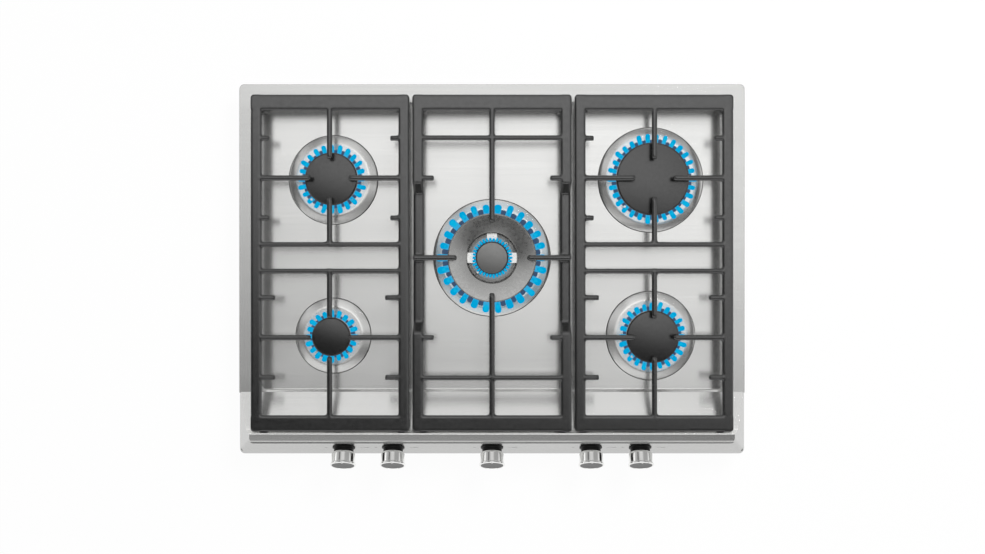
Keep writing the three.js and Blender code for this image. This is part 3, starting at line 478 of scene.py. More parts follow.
BRASS = cast_metal("machined_brass", (0.62, 0.42, 0.16), (0.72, 0.51, 0.22), 0.28, 0.4, 0.00008)
GALVANISED = galvanised()
PRINT = moulded("printed_mark", (0.35, 0.35, 0.35), 0.5)
FLAME_CORE = glow("flame_core", (0.0, 0.36, 0.68), 1.0, 0.94)
FLAME_TIP = glow("flame_tip", (0.004, 0.46, 0.76), 1.0, 0.85)
# painted shade tinted flame blue: the dark roots between the tongues and the dark ring round the cap's edge
FLAME_ROOT_SHADE = glow("flame_base", (0.002, 0.008, 0.07), 1.0, 0.8)
CAP_EDGE_SHADE = glow("flame_shade", (0.006, 0.016, 0.09), 1.0, 0.74)
# painted glow: a pale haze that stands for the flames' light on the metal round them
FLAME_LIGHT_GLOW = glow("flame_halo", (0.42, 0.74, 0.95), 0.8, 0.11)


# ---------- repeated pieces, made with Geometry Nodes ----------

def round_tree():
    """Tree that sets copies of a form round an upright line, turned outwards, with uneven sizes."""
    tree = bpy.data.node_groups.new("copies_round_an_axis", "GeometryNodeTree")
    wanted = (("Form", "Object"), ("Count", "Int"), ("Radius", "Float"), ("Height", "Float"),
              ("Turn", "Float"), ("Smallest", "Vector"), ("Largest", "Vector"), ("Seed", "Int"),
              ("Finish", "Material"))
    for name, kind in wanted:
        tree.interface.new_socket(name=name, in_out="INPUT", socket_type=f"NodeSocket{kind}")
    tree.interface.new_socket(name="Geometry", in_out="OUTPUT", socket_type="NodeSocketGeometry")
    nodes, links = tree.nodes, tree.links
    given = nodes.new("NodeGroupInput")
    result = nodes.new("NodeGroupOutput")

    def maths(operation, a, b=None):
        """Result of a sum on one or two values."""
        node = nodes.new("ShaderNodeMath")
        node.operation = operation
        for socket, value in zip(node.inputs, (a, b)):
            if isinstance(value, (int, float)):
                socket.default_value = value
            elif value is not None:
                links.new(value, socket)
        return node.outputs[0]

    index = nodes.new("GeometryNodeInputIndex").outputs[0]
    share = maths("DIVIDE", index, given.outputs["Count"])
    angle = maths("ADD", maths("MULTIPLY", share, 2 * math.pi), given.outputs["Turn"])
    place = nodes.new("ShaderNodeCombineXYZ")
    links.new(maths("MULTIPLY", maths("COSINE", angle), given.outputs["Radius"]), place.inputs[0])
    links.new(maths("MULTIPLY", maths("SINE", angle), given.outputs["Radius"]), place.inputs[1])
    links.new(given.outputs["Height"], place.inputs[2])
    turn = nodes.new("ShaderNodeCombineXYZ")
    links.new(angle, turn.inputs[2])
    points = nodes.new("GeometryNodePoints")
    links.new(given.outputs["Count"], points.inputs["Count"])
    links.new(place.outputs[0], points.inputs["Position"])
    form = nodes.new("GeometryNodeObjectInfo")
    links.new(given.outputs["Form"], form.inputs["Object"])
    size = nodes.new("FunctionNodeRandomValue")
    size.data_type = "FLOAT_VECTOR"
    links.new(given.outputs["Smallest"], size.inputs["Min"])
    links.new(given.outputs["Largest"], size.inputs["Max"])
    links.new(given.outputs["Seed"], size.inputs["Seed"])
    copies = nodes.new("GeometryNodeInstanceOnPoints")
    links.new(points.outputs[0], copies.inputs["Points"])
    links.new(form.outputs["Geometry"], copies.inputs["Instance"])
    links.new(turn.outputs[0], copies.inputs["Rotation"])
    links.new(size.outputs["Value"], copies.inputs["Scale"])
    real = nodes.new("GeometryNodeRealizeInstances")
    links.new(copies.outputs[0], real.inputs[0])
    coat = nodes.new("GeometryNodeSetMaterial")
    links.new(real.outputs[0], coat.inputs["Geometry"])
    links.new(given.outputs["Finish"], coat.inputs["Material"])
    links.new(coat.outputs[0], result.inputs[0])
    return tree


ROUND = round_tree()


def copies_round(form, count, radius, height, finish, turn=0.0, smallest=(1, 1, 1), largest=(1, 1, 1),
                 seed=1):
    """Plain mesh of copies of a form, which is used up, round the line through x = y = 0."""
    carrier = link("copies", bpy.data.meshes.new("copies"))
    modifier = carrier.modifiers.new("copies", "NODES")
    modifier.node_group = ROUND
    values = {"Form": form, "Count": count, "Radius": float(radius), "Height": float(height),
              "Turn": float(turn), "Smallest": smallest, "Largest": largest, "Seed": seed, "Finish": finish}
    for item in ROUND.interface.items_tree:
        if item.in_out == "INPUT":
            modifier[item.identifier] = values[item.name]
    evaluated(carrier)
    bpy.data.objects.remove(form)
    return carrier


# ---------- hob top ----------

def ramp_line(depth, fine):
    """Section of the console from the foot of its ramp over the crest to the nose, as (y, z)."""
    start = -(TRAY_FRONT + TRAY_RUN)
    nose_y = WALL_Y - CREST_WIDTH
    top = CREST_Z - depth
    nose_z = CREST_Z - CREST_DROP - NOSE
    radius = NOSE - depth
    steps = 6 if fine else 2
    nose = []
    for i in range(steps + 1):
        angle = math.radians(100 + 80 * i / steps)
        nose.append((nose_y + radius * math.cos(angle), nose_z + radius * math.sin(angle)))
    line = [(start + 2, RIM - depth - 1), (start, RIM - depth), (RAMP_END, RIM + RAMP_RISE - depth),
            (RAMP_END - 4.7, RIM + RAMP_RISE + 3.6 - depth), (WALL_Y - depth, RIM + RAMP_RISE + 9.4 - depth),
            (WALL_Y - depth, top), *nose, (nose_y - NOSE + depth, CREST_Z - LEDGE_DROP)]
    radii = [0, 0, 5, 5, 4, 1.8 - depth, *([0] * len(nose)), 0]
    return filleted(line, radii, 6) if fine else line


def console_form(depth, fine):
    """The raised front, or its inside where depth is the sheet's thickness."""
    line = ramp_line(depth, fine)
    beyond = -SHEET_FRONT - 5
    foot = PANEL_FOOT - (1 if depth else 0)
    end_z = line[-1][1]
    section = line[1:] + [(beyond, end_z - 0.5), (beyond, foot), (line[1][0] - depth, foot)]
    half = SHEET_HALF
    verts = [(x, y, z) for x in (-half, half) for y, z in section]
    count = len(section)
    faces = [(i, (i + 1) % count, count + (i + 1) % count, count + i) for i in range(count)]
    faces += [tuple(range(count)), tuple(reversed(range(count, 2 * count)))]
    run = shape(verts, faces)

    def ring(z):
        """The console's leaning front and ends at a height."""
        inwards = (z - PANEL_FOOT) * math.tan(LEAN) + depth / math.cos(LEAN)
        plan = rounded_plan(-SHEET_HALF + inwards, SHEET_HALF - inwards, -SHEET_FRONT + inwards, 0,
                            SHEET_CORNER, 8 if fine else 3)
        return plan, z

    return combine(run, [loft([ring(foot), ring(CREST_Z + 2)])], "INTERSECT")


def mound_form(x, y, radius, depth, fine):
    """Raised disc under a burner, with a sharp foot and a slow slope."""
    z = TRAY - depth
    r = radius - depth
    if fine:
        face = [(r + 0.3, z - 1), (r + 0.3, z), (r - 0.2, z + 0.3), (r - 0.9, z + 1.15), (r - 1.9, z + 1.6),
                (r - 4.0, z + 2.35), (r - 8.0, z + 3.6), (r - 10.0, z + 4.15), (r - 11.0, z + 4.38),
                (r - 11.6, z + 4.42), (r - 12.2, z + 4.58), (r - 12.8, z + 4.6)]
        return turned([(0, z - 1), *face, (0, z + 4.6)], 96, x, y)
    return turned([(0, z - 1), (r, z - 1), (r, z), (r - 13.5, z + 4.6), (0, z + 4.6)], 48, x, y)


def sheet_form(depth, fine):
    """The pressed sheet as a solid block, or what is hollow under it where depth is its thickness."""
    side = SHEET_HALF - depth
    top = RIM - depth
    foot = PANEL_FOOT - (1 if depth else 0)
    corner_steps = 8 if fine else 3

    def plan(extra):
        """The sheet's edge, drawn in by a little more."""
        return rounded_plan(-side + extra, side - extra, -SHEET_FRONT + depth + extra + 3,
                            SHEET_BACK - depth - extra, SHEET_CORNER, corner_steps)

    edge = ((0, foot), (0, top - 1.0), (0.1, top - 0.55), (0.35, top - 0.22), (0.9, top))
    if not fine:
        edge = ((0, foot), (0, top - 1.6), (1.6, top))
    plate = loft([(plan(extra), z) for extra, z in edge])

    def tray_ring(out, z):
        """The tray's edge at a height, some way outside its floor's edge."""
        return rounded_plan(-TRAY_HALF - out, TRAY_HALF + out, -TRAY_FRONT - out, TRAY_BACK + out,
                            TRAY_CORNER + out, corner_steps), z

    if fine:
        wall = ((-1.0, TRAY), (0.3, TRAY + 0.15), (1.0, TRAY + 1.0), (1.5, TRAY + 2.4), (3.5, RIM - 0.6),
                (4.2, RIM - 0.12), (5.2, RIM), (5.2, RIM + 1))
    else:
        wall = ((0.0, TRAY - depth), (TRAY_RUN + 1.6, RIM + 1))
    recess = loft([tray_ring(out + depth, z) for out, z in wall])
    # the plate's ends keep just behind the leaning ends of the console
    kept = SHEET_HALF - (0.05 + depth / math.cos(LEAN))
    beyond = SHEET_HALF + 10
    low, high = PANEL_FOOT - 8, RIM + 4
    section = [(beyond, low), (kept + 8 * math.tan(LEAN), low),
               (kept - (high - PANEL_FOOT) * math.tan(LEAN), high), (beyond, high)]
    sides = [(0, 1, 2, 3), (7, 6, 5, 4), (0, 4, 5, 1), (1, 5, 6, 2), (2, 6, 7, 3), (3, 7, 4, 0)]
    slants = []
    for end in (-1, 1):
        verts = [(end * x, y, z) for y in (-SHEET_FRONT - 5, -TRAY_FRONT - TRAY_RUN - 1) for x, z in section]
        slants.append(shape(verts, sides))
    combine(plate, [recess, *slants], "DIFFERENCE")
    mounds = [mound_form(burner.x, burner.y, burner.mound, depth, fine) for burner in BURNERS]
    return combine(plate, [console_form(depth, fine), *mounds], "UNION")


def panel_matrix(x):
    """Places a form that is drawn about the knob's axis on the sloping panel."""
    return Matrix.Translation((x, KNOB_Y, KNOB_Z)) @ Matrix.Rotation(math.pi / 2 - LEAN, 4, "X")


def pins(burner):
    """Places of a burner's spark electrode and of its thermocouple."""
    wok = burner.name == "wok"
    reach = (WOK_HOLE + WOK_INNER) / 2 if wok else burner.cap + 3.4
    spots = []
    for degrees in (45 if wok else -45, 225):
        angle = math.radians(degrees)
        spots.append((burner.x + reach * math.cos(angle), burner.y + reach * math.sin(angle)))
    return spots


# the steels differ because the studio's light falls on each part of the sheet in another way
SHEET_FINISHES = (STEEL, MOUND_FOOT_SHADE, RIM_STEEL, PANEL_STEEL, RAMP_STEEL)


def sheet_finish(middle, normal):
    """Finish of a face of the sheet, by the face's middle and normal."""
    rounds = [math.hypot(middle.x - burner.x, middle.y - burner.y) - burner.mound for burner in BURNERS]
    # the narrow faces at the foot of a mound get the painted shade
    if TRAY + 0.1 < middle.z < TRAY + 1.3 and any(-1.0 < reach < 0.1 for reach in rounds):
        return MOUND_FOOT_SHADE
    console = middle.y < -TRAY_FRONT - TRAY_RUN - 0.5
    if middle.y < WALL_Y - 2.2 or (console and abs(normal.x) > 0.5):
        return PANEL_STEEL
    if console and middle.z > RIM + 0.2:
        return RAMP_STEEL
    if middle.z > RIM - 0.05 and middle.y > -TRAY_FRONT - 1:
        return RIM_STEEL
    if abs(middle.x) > SHEET_HALF - 4 or middle.y > SHEET_BACK - 4:
        return RIM_STEEL
    return STEEL


def hob_top():
    """The pressed sheet with its holes, its finishes by place, and the grain's direction."""
    sheet = sheet_form(0.0, True)
    tools = [sheet_form(SHEET_THICK, False)]
    low, high = TRAY - 5, TRAY + 10
    for burner in BURNERS:
        tools.append(rod(burner.x, burner.y, burner.cup + 0.45, low, high, 64))
        if burner.name != "wok":
            spark, sense = pins(burner)
            tools.append(rod(*spark, SPARK_HOLE, low, high))
            tools.append(rod(*sense, SENSE_HOLE, low, high))
        tools.append(moved(rod(0, 0, STEM_HOLE, -10, 10), panel_matrix(burner.knob_x)))
    combine(sheet, tools, "DIFFERENCE")
    # slivers that the cuts leave are melted away
    bm = bmesh.new()
    bm.from_mesh(sheet.data)
    bmesh.ops.remove_doubles(bm, verts=bm.verts, dist=0.01)
    bmesh.ops.dissolve_degenerate(bm, edges=bm.edges, dist=0.01)
    bmesh.ops.dissolve_limit(bm, angle_limit=math.radians(0.2), verts=bm.verts, edges=bm.edges)
    bm.to_mesh(sheet.data)
    bm.free()
    sheet.data.materials.clear()
    for material in SHEET_FINISHES:
        sheet.data.materials.append(material)
    for polygon in sheet.data.polygons:
        polygon.material_index = SHEET_FINISHES.index(sheet_finish(polygon.center, polygon.normal))
    layer = sheet.data.uv_layers.new(name="grain")
    for loop in sheet.data.loops:
        point = sheet.data.vertices[loop.vertex_index].co
        layer.data[loop.index].uv = (point.x * 0.001, point.y * 0.001)
    return dress(sheet, "hob_sheet", "base", None, ["hob_top"], crease=24, even=True)


# ---------- grates ----------

def cast_grate(node, body, name, column=None):
    """The grate as a casting: the CAD bars with rounded edges and filleted corners.

    A side grate is open between its two middle crossbars, where the solid has a short rib.
    """
    obj = link(name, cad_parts[node].data.copy())
    bm = bmesh.new()
    bm.from_mesh(obj.data)
    bmesh.ops.remove_doubles(bm, verts=bm.verts, dist=2e-6)
    bm.to_mesh(obj.data)
    bm.free()
    if column is not None:
        plan = rounded_plan(column - OPEN_WIDE, column + OPEN_WIDE, -OPEN_DEEP, OPEN_DEEP, 0.5, 2)
        combine(obj, [moved(loft([(plan, TRAY + 20), (plan, TRAY + 60)]), TO_FRAME)], "DIFFERENCE")
    remesh = obj.modifiers.new("skin", "REMESH")
    remesh.mode = "VOXEL"
    remesh.voxel_size = SKIN_VOXEL
    smooth = obj.modifiers.new("fillet", "SMOOTH")
    smooth.iterations = 5
    smooth.factor = 0.5
    regain = obj.modifiers.new("regain", "DISPLACE")
    regain.mid_level = 0.0
    regain.strength = SKIN_GAIN
    thin = obj.modifiers.new("thin", "DECIMATE")
    thin.ratio = SKIN_FACES
    evaluated(obj)
    return dress(obj, name, body, IRON, [node], crease=60, in_frame=True)


# ---------- burners ----------

def cap_disc(x, y, radius, top, skirt, spigot):
    """Enamelled cap with a rounded shoulder and a skirt, and its spigot underneath."""
    foot = CAP_LOW - 3.4
    line = [(0, foot), (spigot, foot), (spigot, CAP_LOW), (radius, CAP_LOW), (radius, CAP_LOW + skirt),
            (radius - 1.6, top - 0.4), (0, top)]
    radii = [0, 0.6, 0, 0.5, 1.0, 0.9, 0]
    return turned(filleted(line, radii, 4), 96, x, y)


def tooth(inner, outer, width, low, top):
    """One tooth of a crown between two ports, pointing along +X from the crown's axis."""
    half = width / 2
    plan = [(inner, -half * 0.86), (outer - 0.4, -half), (outer, -half * 0.7), (outer, half * 0.7),
            (outer - 0.4, half), (inner, half * 0.86)]
    return loft([(plan, low), (plan, top)])


def teeth_round(inner, outer, ports, port_width, low):
    """Ring of a crown's teeth, with a port between each two."""
    width = 2 * math.pi * outer / ports - port_width
    return copies_round(tooth(inner, outer, width, low, CROWN_TOP), ports, 0, 0, CROWN_METAL)


def crown(burner):
    """Slotted crown of a plain burner: a turned ring that carries the teeth."""
    name = burner.name
    outer = burner.cap - CAP_OVERHANG
    inner = outer - CROWN_WALL
    low = CROWN_BASE
    floor = low + 3
    line = [(8, CROWN_FOOT), (11, CROWN_FOOT), (11, low), (outer, low), (outer, PORT_FLOOR),
            (inner, PORT_FLOOR), (inner, floor), (8, floor)]
    radii = [0.4, 0.4, 1.5, 1.2, 0.5, 0.3, 1.5, 0.8]
    ring = turned(filleted(line, radii, 3, closed=True), 96, closed=True)
    ring.data.materials.append(CROWN_METAL)
    teeth = teeth_round(inner, outer, burner.ports, PORT_WIDTH, PORT_FLOOR - 0.3)
    both = moved(merged([ring, teeth]), Matrix.Translation((burner.x, burner.y, 0)))
    return dress(both, f"{name}_crown", f"{name}_crown", None, [f"{name}_burner_crown"])


def wok_crown(burner):
    """Outer ring and inner crown of the wok burner on one casting, with three bridges between."""
    outer = burner.cap - CAP_OVERHANG
    inner = outer - CROWN_WALL
    bore = WOK_HOLE + 0.6
    low = CROWN_BASE
    ring_line = [(bore, low), (outer, low), (outer, PORT_FLOOR), (inner, PORT_FLOOR), (inner, low + 3),
                 (bore + 3.4, low + 3), (bore + 3.4, CROWN_TOP - 3.4), (bore, CROWN_TOP - 3.4)]
    ring_radii = [0.6, 1.2, 0.5, 0.3, 1, 1, 0.6, 0.6]
    ring = turned(filleted(ring_line, ring_radii, 3, closed=True), 96, closed=True)
    head = WOK_INNER - 2.3
    hollow = head - 3.5
    head_line = [(8, CROWN_FOOT), (11, CROWN_FOOT), (11, low - 2), (head, low + 1), (head, PORT_FLOOR + 1),
                 (hollow, PORT_FLOOR + 1), (hollow, low + 4.4), (8, low + 4)]
    head_radii = [0.4, 0.4, 1, 1, 0.4, 0.3, 1, 0.6]
    inner_crown = turned(filleted(head_line, head_radii, 3, closed=True), 64, closed=True)
    for part in (ring, inner_crown):
        part.data.materials.append(CROWN_METAL)
    teeth = teeth_round(inner, outer, burner.ports, PORT_WIDTH, PORT_FLOOR - 0.3)
    small_teeth = teeth_round(hollow, head, INNER_PORTS, INNER_PORT_WIDTH, PORT_FLOOR + 0.7)
    bridges = []
    start, end, half = head - 1.5, bore + 1, BRIDGE_HALF
    corners = [(start, -half), (end, -half), (end, half), (start, half)]
    plan = filleted(corners, [0.3, 1, 1, 0.3], 3, closed=True)
    for degrees in (0, 90, 180):
        angle = math.radians(degrees)
        bridge = loft([(plan, low + 1.6), (plan, low + 6.4)])
        bridge.data.materials.append(BRIGHT_METAL)
        moved(bridge, Matrix.Rotation(angle, 4, "Z"))
        # the tops lean to the back, towards the light
        middle = (head + bore) / 2 * math.sin(angle)
        tilt = Matrix(((1, 0, 0, 0), (0, 1, 0, 0), (0, -0.08, 1, 0.08 * middle), (0, 0, 0, 1)))
        bridges.append(moved(bridge, tilt))
    edge = bore - 1.2
    dish_line = [(head - 1, low + 0.1), (edge, low + 0.1), (edge, low + 1), (head - 1, low + 1)]
    dish = turned(dish_line, 96, closed=True)
    combine(dish, [rod(*spot, WOK_PIN_HOLE, low - 2, low + 3) for spot in pins(burner)], "DIFFERENCE")
    dish.data.materials.clear()
    dish.data.materials.append(CROWN_METAL)
    whole = merged([ring, inner_crown, teeth, small_teeth, dish, *bridges])
    return dress(whole, "wok_crown", "wok_crown", None, ["wok_burner_crown"])


def wok_cap(radius):
    """Ring cap whose top slopes down to the hole in its middle."""
    spigot = radius - CAP_OVERHANG - CROWN_WALL - 1.1
    low = CAP_LOW
    line = [(WOK_HOLE, low - 2.6), (WOK_HOLE + 3.4, low - 2.6), (spigot - 2, low - 3.4), (spigot, low - 3.4),
            (spigot, low), (radius, low), (radius, CAP_TOP - 1.2), (radius - 1.4, CAP_TOP),
            (WOK_HOLE + 1.2, CAP_TOP - WOK_SLOPE)]
    radii = [0.6, 0.6, 0.6, 0.6, 0, 0.5, 0.8, 0.8, 0.9]
    ring = turned(filleted(line, radii, 4, closed=True), 128, closed=True)
    return dress(ring, "wok_cap_ring", "wok_cap", WOK_ENAMEL, ["wok_burner_cap"])


def electrode(burner):
    """Glazed ceramic sleeve with a groove, and its spark wire."""
    name = burner.name
    x, y = pins(burner)[0]
    low = TRAY - (46 if name == "wok" else 16)
    top = TRAY + 11.5
    sleeve_line = [(0, low), (3.1, low), (3.1, top - 5), (2.6, top - 4.6), (2.6, top - 4.2), (3.1, top - 3.8),
                   (3.1, top - 1.6), (2.1, top), (0, top)]
    sleeve = turned(filleted(sleeve_line, [0, 0.5, 0.2, 0.2, 0.2, 0.2, 0.8, 0.5, 0], 3), 32, x, y)
    sleeve.data.materials.append(CERAMIC)
    wire_line = [(0, top - 1), (0.8, top - 1), (0.8, TRAY + 17), (0.35, TRAY + 17.9), (0, TRAY + 17.9)]
    wire = turned(wire_line, 16, x, y)
    wire.data.materials.append(STEEL_PIN)
    return dress(merged([sleeve, wire]), f"{name}_electrode", "base", None, [f"{name}_spark_electrode"])


def tongue(length, width, rise, thick):
    """One tongue of flame along +X, widest past its middle, bending upwards."""
    stations = ((0.0, 0.85, 0.8), (0.3, 0.88, 1.0), (0.55, 0.95, 1.0), (0.75, 1.0, 0.9), (0.88, 0.9, 0.75),
                (0.96, 0.62, 0.5), (1.0, 0.25, 0.2))
    sides = 10
    rows = []
    for along, wide, deep in stations:
        row = []
        for i in range(sides):
            angle = 2 * math.pi * i / sides
            row.append((along * length, math.cos(angle) * width / 2 * wide,
                        rise * along ** 1.6 + math.sin(angle) * thick / 2 * deep))
        rows.append(row)
    return skinned(rows)


def flames(name, body, burner, root, count, length, width, seed):
    """Ring of flames: blue tongues; between them deep-blue roots, flame blue darkened with painted shade; a
    ring of painted shade round the cap's edge; and a pale haze round both, a painted glow of the flames'
    light on the metal.
    """
    height = FLAME_Z
    core = copies_round(tongue(length, width, 5.5, 2.2), count, root, height, FLAME_CORE, 0.0,
                        LEAST_TONGUE, MOST_TONGUE, seed)
    tips = copies_round(tongue(length * 0.5, width * 0.66, 2.6, 1.6), count, root + length * 0.44,
                        height + 2.4, FLAME_TIP, 0.0, LEAST_TONGUE, MOST_TONGUE, seed)
    # the dark roots between the tongues are flame blue darkened with painted shade
    shaded_roots = copies_round(tongue(length * 0.58, width * 0.9, 1.6, 1.6), count, root, height - 0.8, FLAME_ROOT_SHADE,
                         math.pi / count, (0.8, 0.9, 0.9), (1.15, 1.1, 1.1), seed + 1)
    edge = root + length * 0.48
    # painted shade: a dark ring round the cap's edge, tinted flame blue
    shade_line = [(root, height - 1.6), (edge, height - 1.0), (edge, height - 0.8), (root, height - 1.2)]
    shade = turned(shade_line, 96, closed=True)
    shade.data.materials.append(CAP_EDGE_SHADE)
    # painted glow of the flames' light on the metal, as a pale haze round the flames
    reach = root + length
    haze_line = [(root + 1, height - 1), (reach + 1.2, height + 1.5), (reach + 1.8, height + 3),
                 (reach + 1.2, height + 4.4), (root + 3, height + 1.4)]
    haze = turned(filleted(haze_line, [0.5, 1, 1, 1, 0.5], 3, closed=True), 96, closed=True)
    haze.data.materials.append(FLAME_LIGHT_GLOW)
    whole = moved(merged([core, tips, shaded_roots, shade, haze]), Matrix.Translation((burner.x, burner.y, 0)))
    dress(whole, name, body, crease=80)
    # the flames' own light leaves no blue on the metal round them; the haze paints a glow there instead
    whole.visible_glossy = False
    whole.visible_diffuse = False


def burners():
    """Electrode, crown, caps and flames of every burner."""
    for index, burner in enumerate(BURNERS):
        name, x, y, cap = burner[:4]
        electrode(burner)
        if name == "wok":
            wok_crown(burner)
            wok_cap(cap)
            inner = cap_disc(x, y, WOK_INNER, CAP_TOP - 1, 6.8, 15.4)
            dress(inner, "wok_cap_centre", "wok_inner_cap", INNER_ENAMEL, ["wok_inner_cap"])
            flames("wok_inner_flames", "wok_crown", burner, WOK_INNER - 1.6, INNER_PORTS, INNER_FLAME,
                   INNER_FLAME_WIDTH, 90)
            flames("wok_flames", "wok_crown", burner, cap - 3, burner.tongues, burner.flame,
                   WOK_FLAME_WIDTH, 70)
            continue
        crown(burner)
        disc = cap_disc(x, y, cap, CAP_TOP, 7.6, cap - 8.2)
        dress(disc, f"{name}_cap", f"{name}_cap", CAP_ENAMEL, [f"{name}_burner_cap"])
        flames(f"{name}_flames", f"{name}_crown", burner, cap - 3, burner.tongues, burner.flame, FLAME_WIDTH,
               10 * index)


# ---------- knobs ----------

def bar_plan(left, right, front, back, radius, steps):
    """Outline of a small bar with rounded corners."""
    corners = [(left, front), (right, front), (right, back), (left, back)]
    return filleted(corners, [radius] * 4, steps, closed=True)


def knobs():
    """Chrome knobs with a dished face and a raised pointer, and the grooved collars under them."""
    for burner in BURNERS:
        name = burner.name
        at = panel_matrix(burner.knob_x)
        line = [(4.4, 11.4), (13.9, 11.4), (13.9, 7.8), (14.9, 7.8), (16.3, 10.6), (16.4, 22.4), (17.5, 23.6),
                (17.5, 25.4), (16.2, 26.1), (15.2, 25.5), (0, 25.7), (0, 19.3), (4.4, 19.3)]
        radii = [0.2, 0.4, 0.3, 0.5, 1.4, 0.5, 0.7, 0.7, 0.5, 0.3, 0, 0, 0.3]
        body = turned(filleted(line, radii, 4, closed=True), 96, closed=True)
        body.data.materials.append(CHROME)
        body.data.materials.append(KNOB_FACE)
        for polygon in body.data.polygons:
            radius = math.hypot(polygon.center.x, polygon.center.y)
            if radius < 15.4 and polygon.center.z > 25.2:
                polygon.material_index = 1
        pointer = loft([(bar_plan(-0.9, 0.9, 12.6, 17.2, 0.5, 3), 25.3),
                        (bar_plan(-0.8, 0.8, 12.8, 16.9, 0.5, 3), 26.1)])
        pointer.data.materials.append(CHROME)
        knob = moved(merged([body, pointer]), at)
        dress(knob, f"{name}_chrome_knob", f"{name}_control", None, [f"{name}_knob"])
        collar_line = [(4.6, 0.3), (15.5, 0.3), (15.5, 0.9), (13.6, 1.9), (13.4, 3.2), (13.0, 3.5),
                       (13.0, 4.1), (13.4, 4.4), (13.4, 7.4), (4.6, 7.4)]
        collar_radii = [0.2, 0.2, 0.3, 0.6, 0.3, 0.2, 0.2, 0.3, 0.5, 0.3]
        collar = turned(filleted(collar_line, collar_radii, 3, closed=True), 64, closed=True)
        dress(moved(collar, at), f"{name}_collar", "base", BLACK, [f"{name}_knob_bezel"])


def panel_marks():
    """Three plain short dashes beside each knob, without lettering."""
    for burner in BURNERS:
        dashes = []
        for centre, reach in ((-24.0, 1.6), (24.0, 1.2), (31.0, 3.6)):
            plan = bar_plan(centre - reach, centre + reach, -1.0, 1.0, 0.9, 4)
            dashes.append(loft([(plan, -0.05), (plan, 0.03)]))
        marks = moved(merged(dashes), panel_matrix(burner.knob_x))
        dress(marks, f"{burner.name}_panel_marks", "base", PRINT)


hob_top()
cast_grate("grate_left", "left_grate", "left_grate_casting", -COLUMN)
cast_grate("grate_centre", "centre_grate", "centre_grate_casting")
cast_grate("grate_right", "right_grate", "right_grate_casting", COLUMN)
burners()
knobs()
panel_marks()

# the CAD solids that stay in view keep their shape and get their finish
KEPT = (("bottom_casing", GALVANISED), ("gas_rail", GALVANISED), ("rim_seal", FOAM), ("inlet_elbow", BRASS),
        ("ignition_module", BLACK), ("burner_cup", BRIGHT_METAL), ("feed_pipe", BRIGHT_METAL),
        ("tap_stem", BRASS), ("tap_plug", BRASS), ("tap_body", BRASS))
for node_name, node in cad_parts.items():
    for ending, material in KEPT:
        if node_name.endswith(ending):
            node.data.materials.clear()
            node.data.materials.append(material)


# ---------- floor, light and camera ----------

FLOOR_GLOW = 0.96  # share of plain white in what the camera and the metal see of the floor
FLOOR_HALF = 6.0  # metres
CAMERA_HEIGHT = 1.7  # metres over the tray
LENS = 44.75
CAMERA_SHIFT = (0.0005, -0.0195)


def studio_floor():
    """Matt floor that looks white and still takes the object's shadow."""
    material = bpy.data.materials.new("white_floor")
    material.use_nodes = True
    nodes, links = material.node_tree.nodes, material.node_tree.links
    nodes.clear()
    output = nodes.new("ShaderNodeOutputMaterial")
    matt = nodes.new("ShaderNodeBsdfDiffuse")
    matt.inputs["Color"].default_value = (0.8, 0.8, 0.8, 1)
    white = nodes.new("ShaderNodeEmission")
    white.inputs["Strength"].default_value = 1.0
    both = nodes.new("ShaderNodeMixShader")
    path = nodes.new("ShaderNodeLightPath")
    seen = nodes.new("ShaderNodeMath")
    seen.operation = "MAXIMUM"
    share = nodes.new("ShaderNodeMath")
    share.operation = "MULTIPLY"
    share.inputs[1].default_value = FLOOR_GLOW
    links.new(path.outputs["Is Camera Ray"], seen.inputs[0])
    links.new(path.outputs["Is Glossy Ray"], seen.inputs[1])
    links.new(seen.outputs[0], share.inputs[0])
    links.new(share.outputs[0], both.inputs["Fac"])
    links.new(matt.outputs[0], both.inputs[1])
    links.new(white.outputs[0], both.inputs[2])
    links.new(both.outputs[0], output.inputs["Surface"])
    half = FLOOR_HALF
    mesh = bpy.data.meshes.new("floor")
    corners = [(-half, -half, 0), (half, -half, 0), (half, half, 0), (-half, half, 0)]
    mesh.from_pydata(corners, [], [(0, 1, 2, 3)])
    floor = link("studio_floor", mesh)
    floor.location.z = -0.0005
    mesh.materials.append(material)


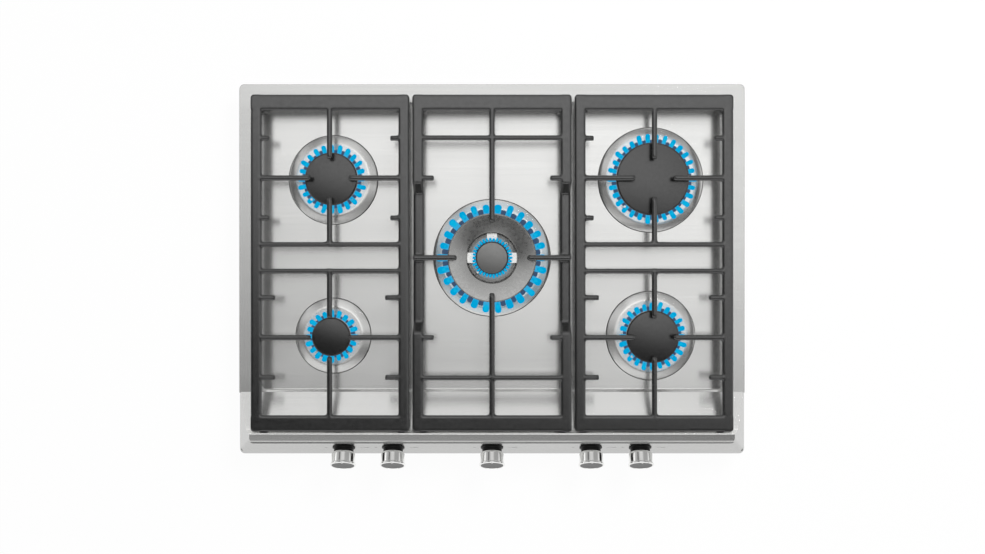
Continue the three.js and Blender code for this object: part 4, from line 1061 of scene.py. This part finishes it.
def studio_world():
    """White to the camera; for everything else a soft dome, bright behind and dim in front."""
    world = bpy.data.worlds.new("studio")
    bpy.context.scene.world = world
    world.use_nodes = True
    nodes, links = world.node_tree.nodes, world.node_tree.links
    nodes.clear()
    output = nodes.new("ShaderNodeOutputWorld")
    back = nodes.new("ShaderNodeBackground")
    back.inputs["Color"].default_value = (1, 1, 1, 1)
    place = nodes.new("ShaderNodeTexCoord")

    def along(x, y, z=0.0):
        """How far a direction of the dome points along a line."""
        node = nodes.new("ShaderNodeVectorMath")
        node.operation = "DOT_PRODUCT"
        node.inputs[1].default_value = (x, y, z)
        links.new(place.outputs["Generated"], node.inputs[0])
        return node.outputs["Value"]

    def step(value, start, end, low, high):
        """Soft step of the light from one level to another."""
        node = nodes.new("ShaderNodeMapRange")
        node.interpolation_type = "SMOOTHSTEP"
        for socket, number in (("From Min", start), ("From Max", end), ("To Min", low), ("To Max", high)):
            node.inputs[socket].default_value = number
        links.new(value, node.inputs["Value"])
        return node.outputs["Result"]

    def maths(operation, first, second=None):
        """Result of a sum on one or two values."""
        node = nodes.new("ShaderNodeMath")
        node.operation = operation
        links.new(first, node.inputs[0])
        if second is not None:
            links.new(second, node.inputs[1])
        return node.outputs[0]

    back_share = along(0.25, 1.0)
    main = step(back_share, -0.145, 0.08, 0.024, 1.48)
    fall = step(back_share, 0.085, 0.5, 0.0, -0.8)
    front = step(back_share, -0.62, -0.3, 0.88, 0.0)
    horizon = step(along(0.0, 0.0, 1.0), 0.02, 0.32, 0.56, 0.0)
    sides = step(maths("ABSOLUTE", along(1.0, 0.0)), 0.14, 0.42, 1.0, 0.55)
    lit = maths("MULTIPLY", maths("ADD", main, fall), sides)
    dome = maths("ADD", maths("ADD", lit, front), horizon)
    # a dark stand far behind on the left
    beside = maths("ABSOLUTE", along(0.8, 0.6))
    clear = step(along(-0.6, 0.8), 0.3, 0.5, 1.0, 0.0)
    open_sky = maths("MAXIMUM", step(beside, 0.02, 0.07, 0.15, 1.0), clear)
    level = maths("MULTIPLY", dome, open_sky)
    path = nodes.new("ShaderNodeLightPath")
    pick = nodes.new("ShaderNodeMix")
    pick.data_type = "FLOAT"
    pick.inputs["B"].default_value = 1.0
    links.new(path.outputs["Is Camera Ray"], pick.inputs["Factor"])
    links.new(level, pick.inputs["A"])
    links.new(pick.outputs["Result"], back.inputs["Strength"])
    links.new(back.outputs[0], output.inputs["Surface"])


def lamp(name, place, target, size, power):
    """Square lamp that casts shadows and isn't seen in the metal."""
    light = bpy.data.lights.new(name, "AREA")
    light.shape = "SQUARE"
    light.size = size
    light.energy = power
    obj = bpy.data.objects.new(name, light)
    bpy.context.scene.collection.objects.link(obj)
    obj.location = place
    obj.rotation_euler = (Vector(target) - Vector(place)).to_track_quat("-Z", "Y").to_euler()
    obj.visible_glossy = False


studio_floor()
studio_world()
lamp("key_light", (0.75, 0.95, 1.9), (0, 0, 0.05), 0.7, 40)

camera = bpy.data.objects.new("camera", bpy.data.cameras.new("camera"))
bpy.context.scene.collection.objects.link(camera)
camera.data.lens = LENS
camera.data.shift_x, camera.data.shift_y = CAMERA_SHIFT
camera.location = (0, HOB_Y, TRAY * 0.001 + CAMERA_HEIGHT)
camera.rotation_euler = (0, 0, 0)
bpy.context.scene.camera = camera
bpy.context.scene.view_settings.view_transform = "Standard"
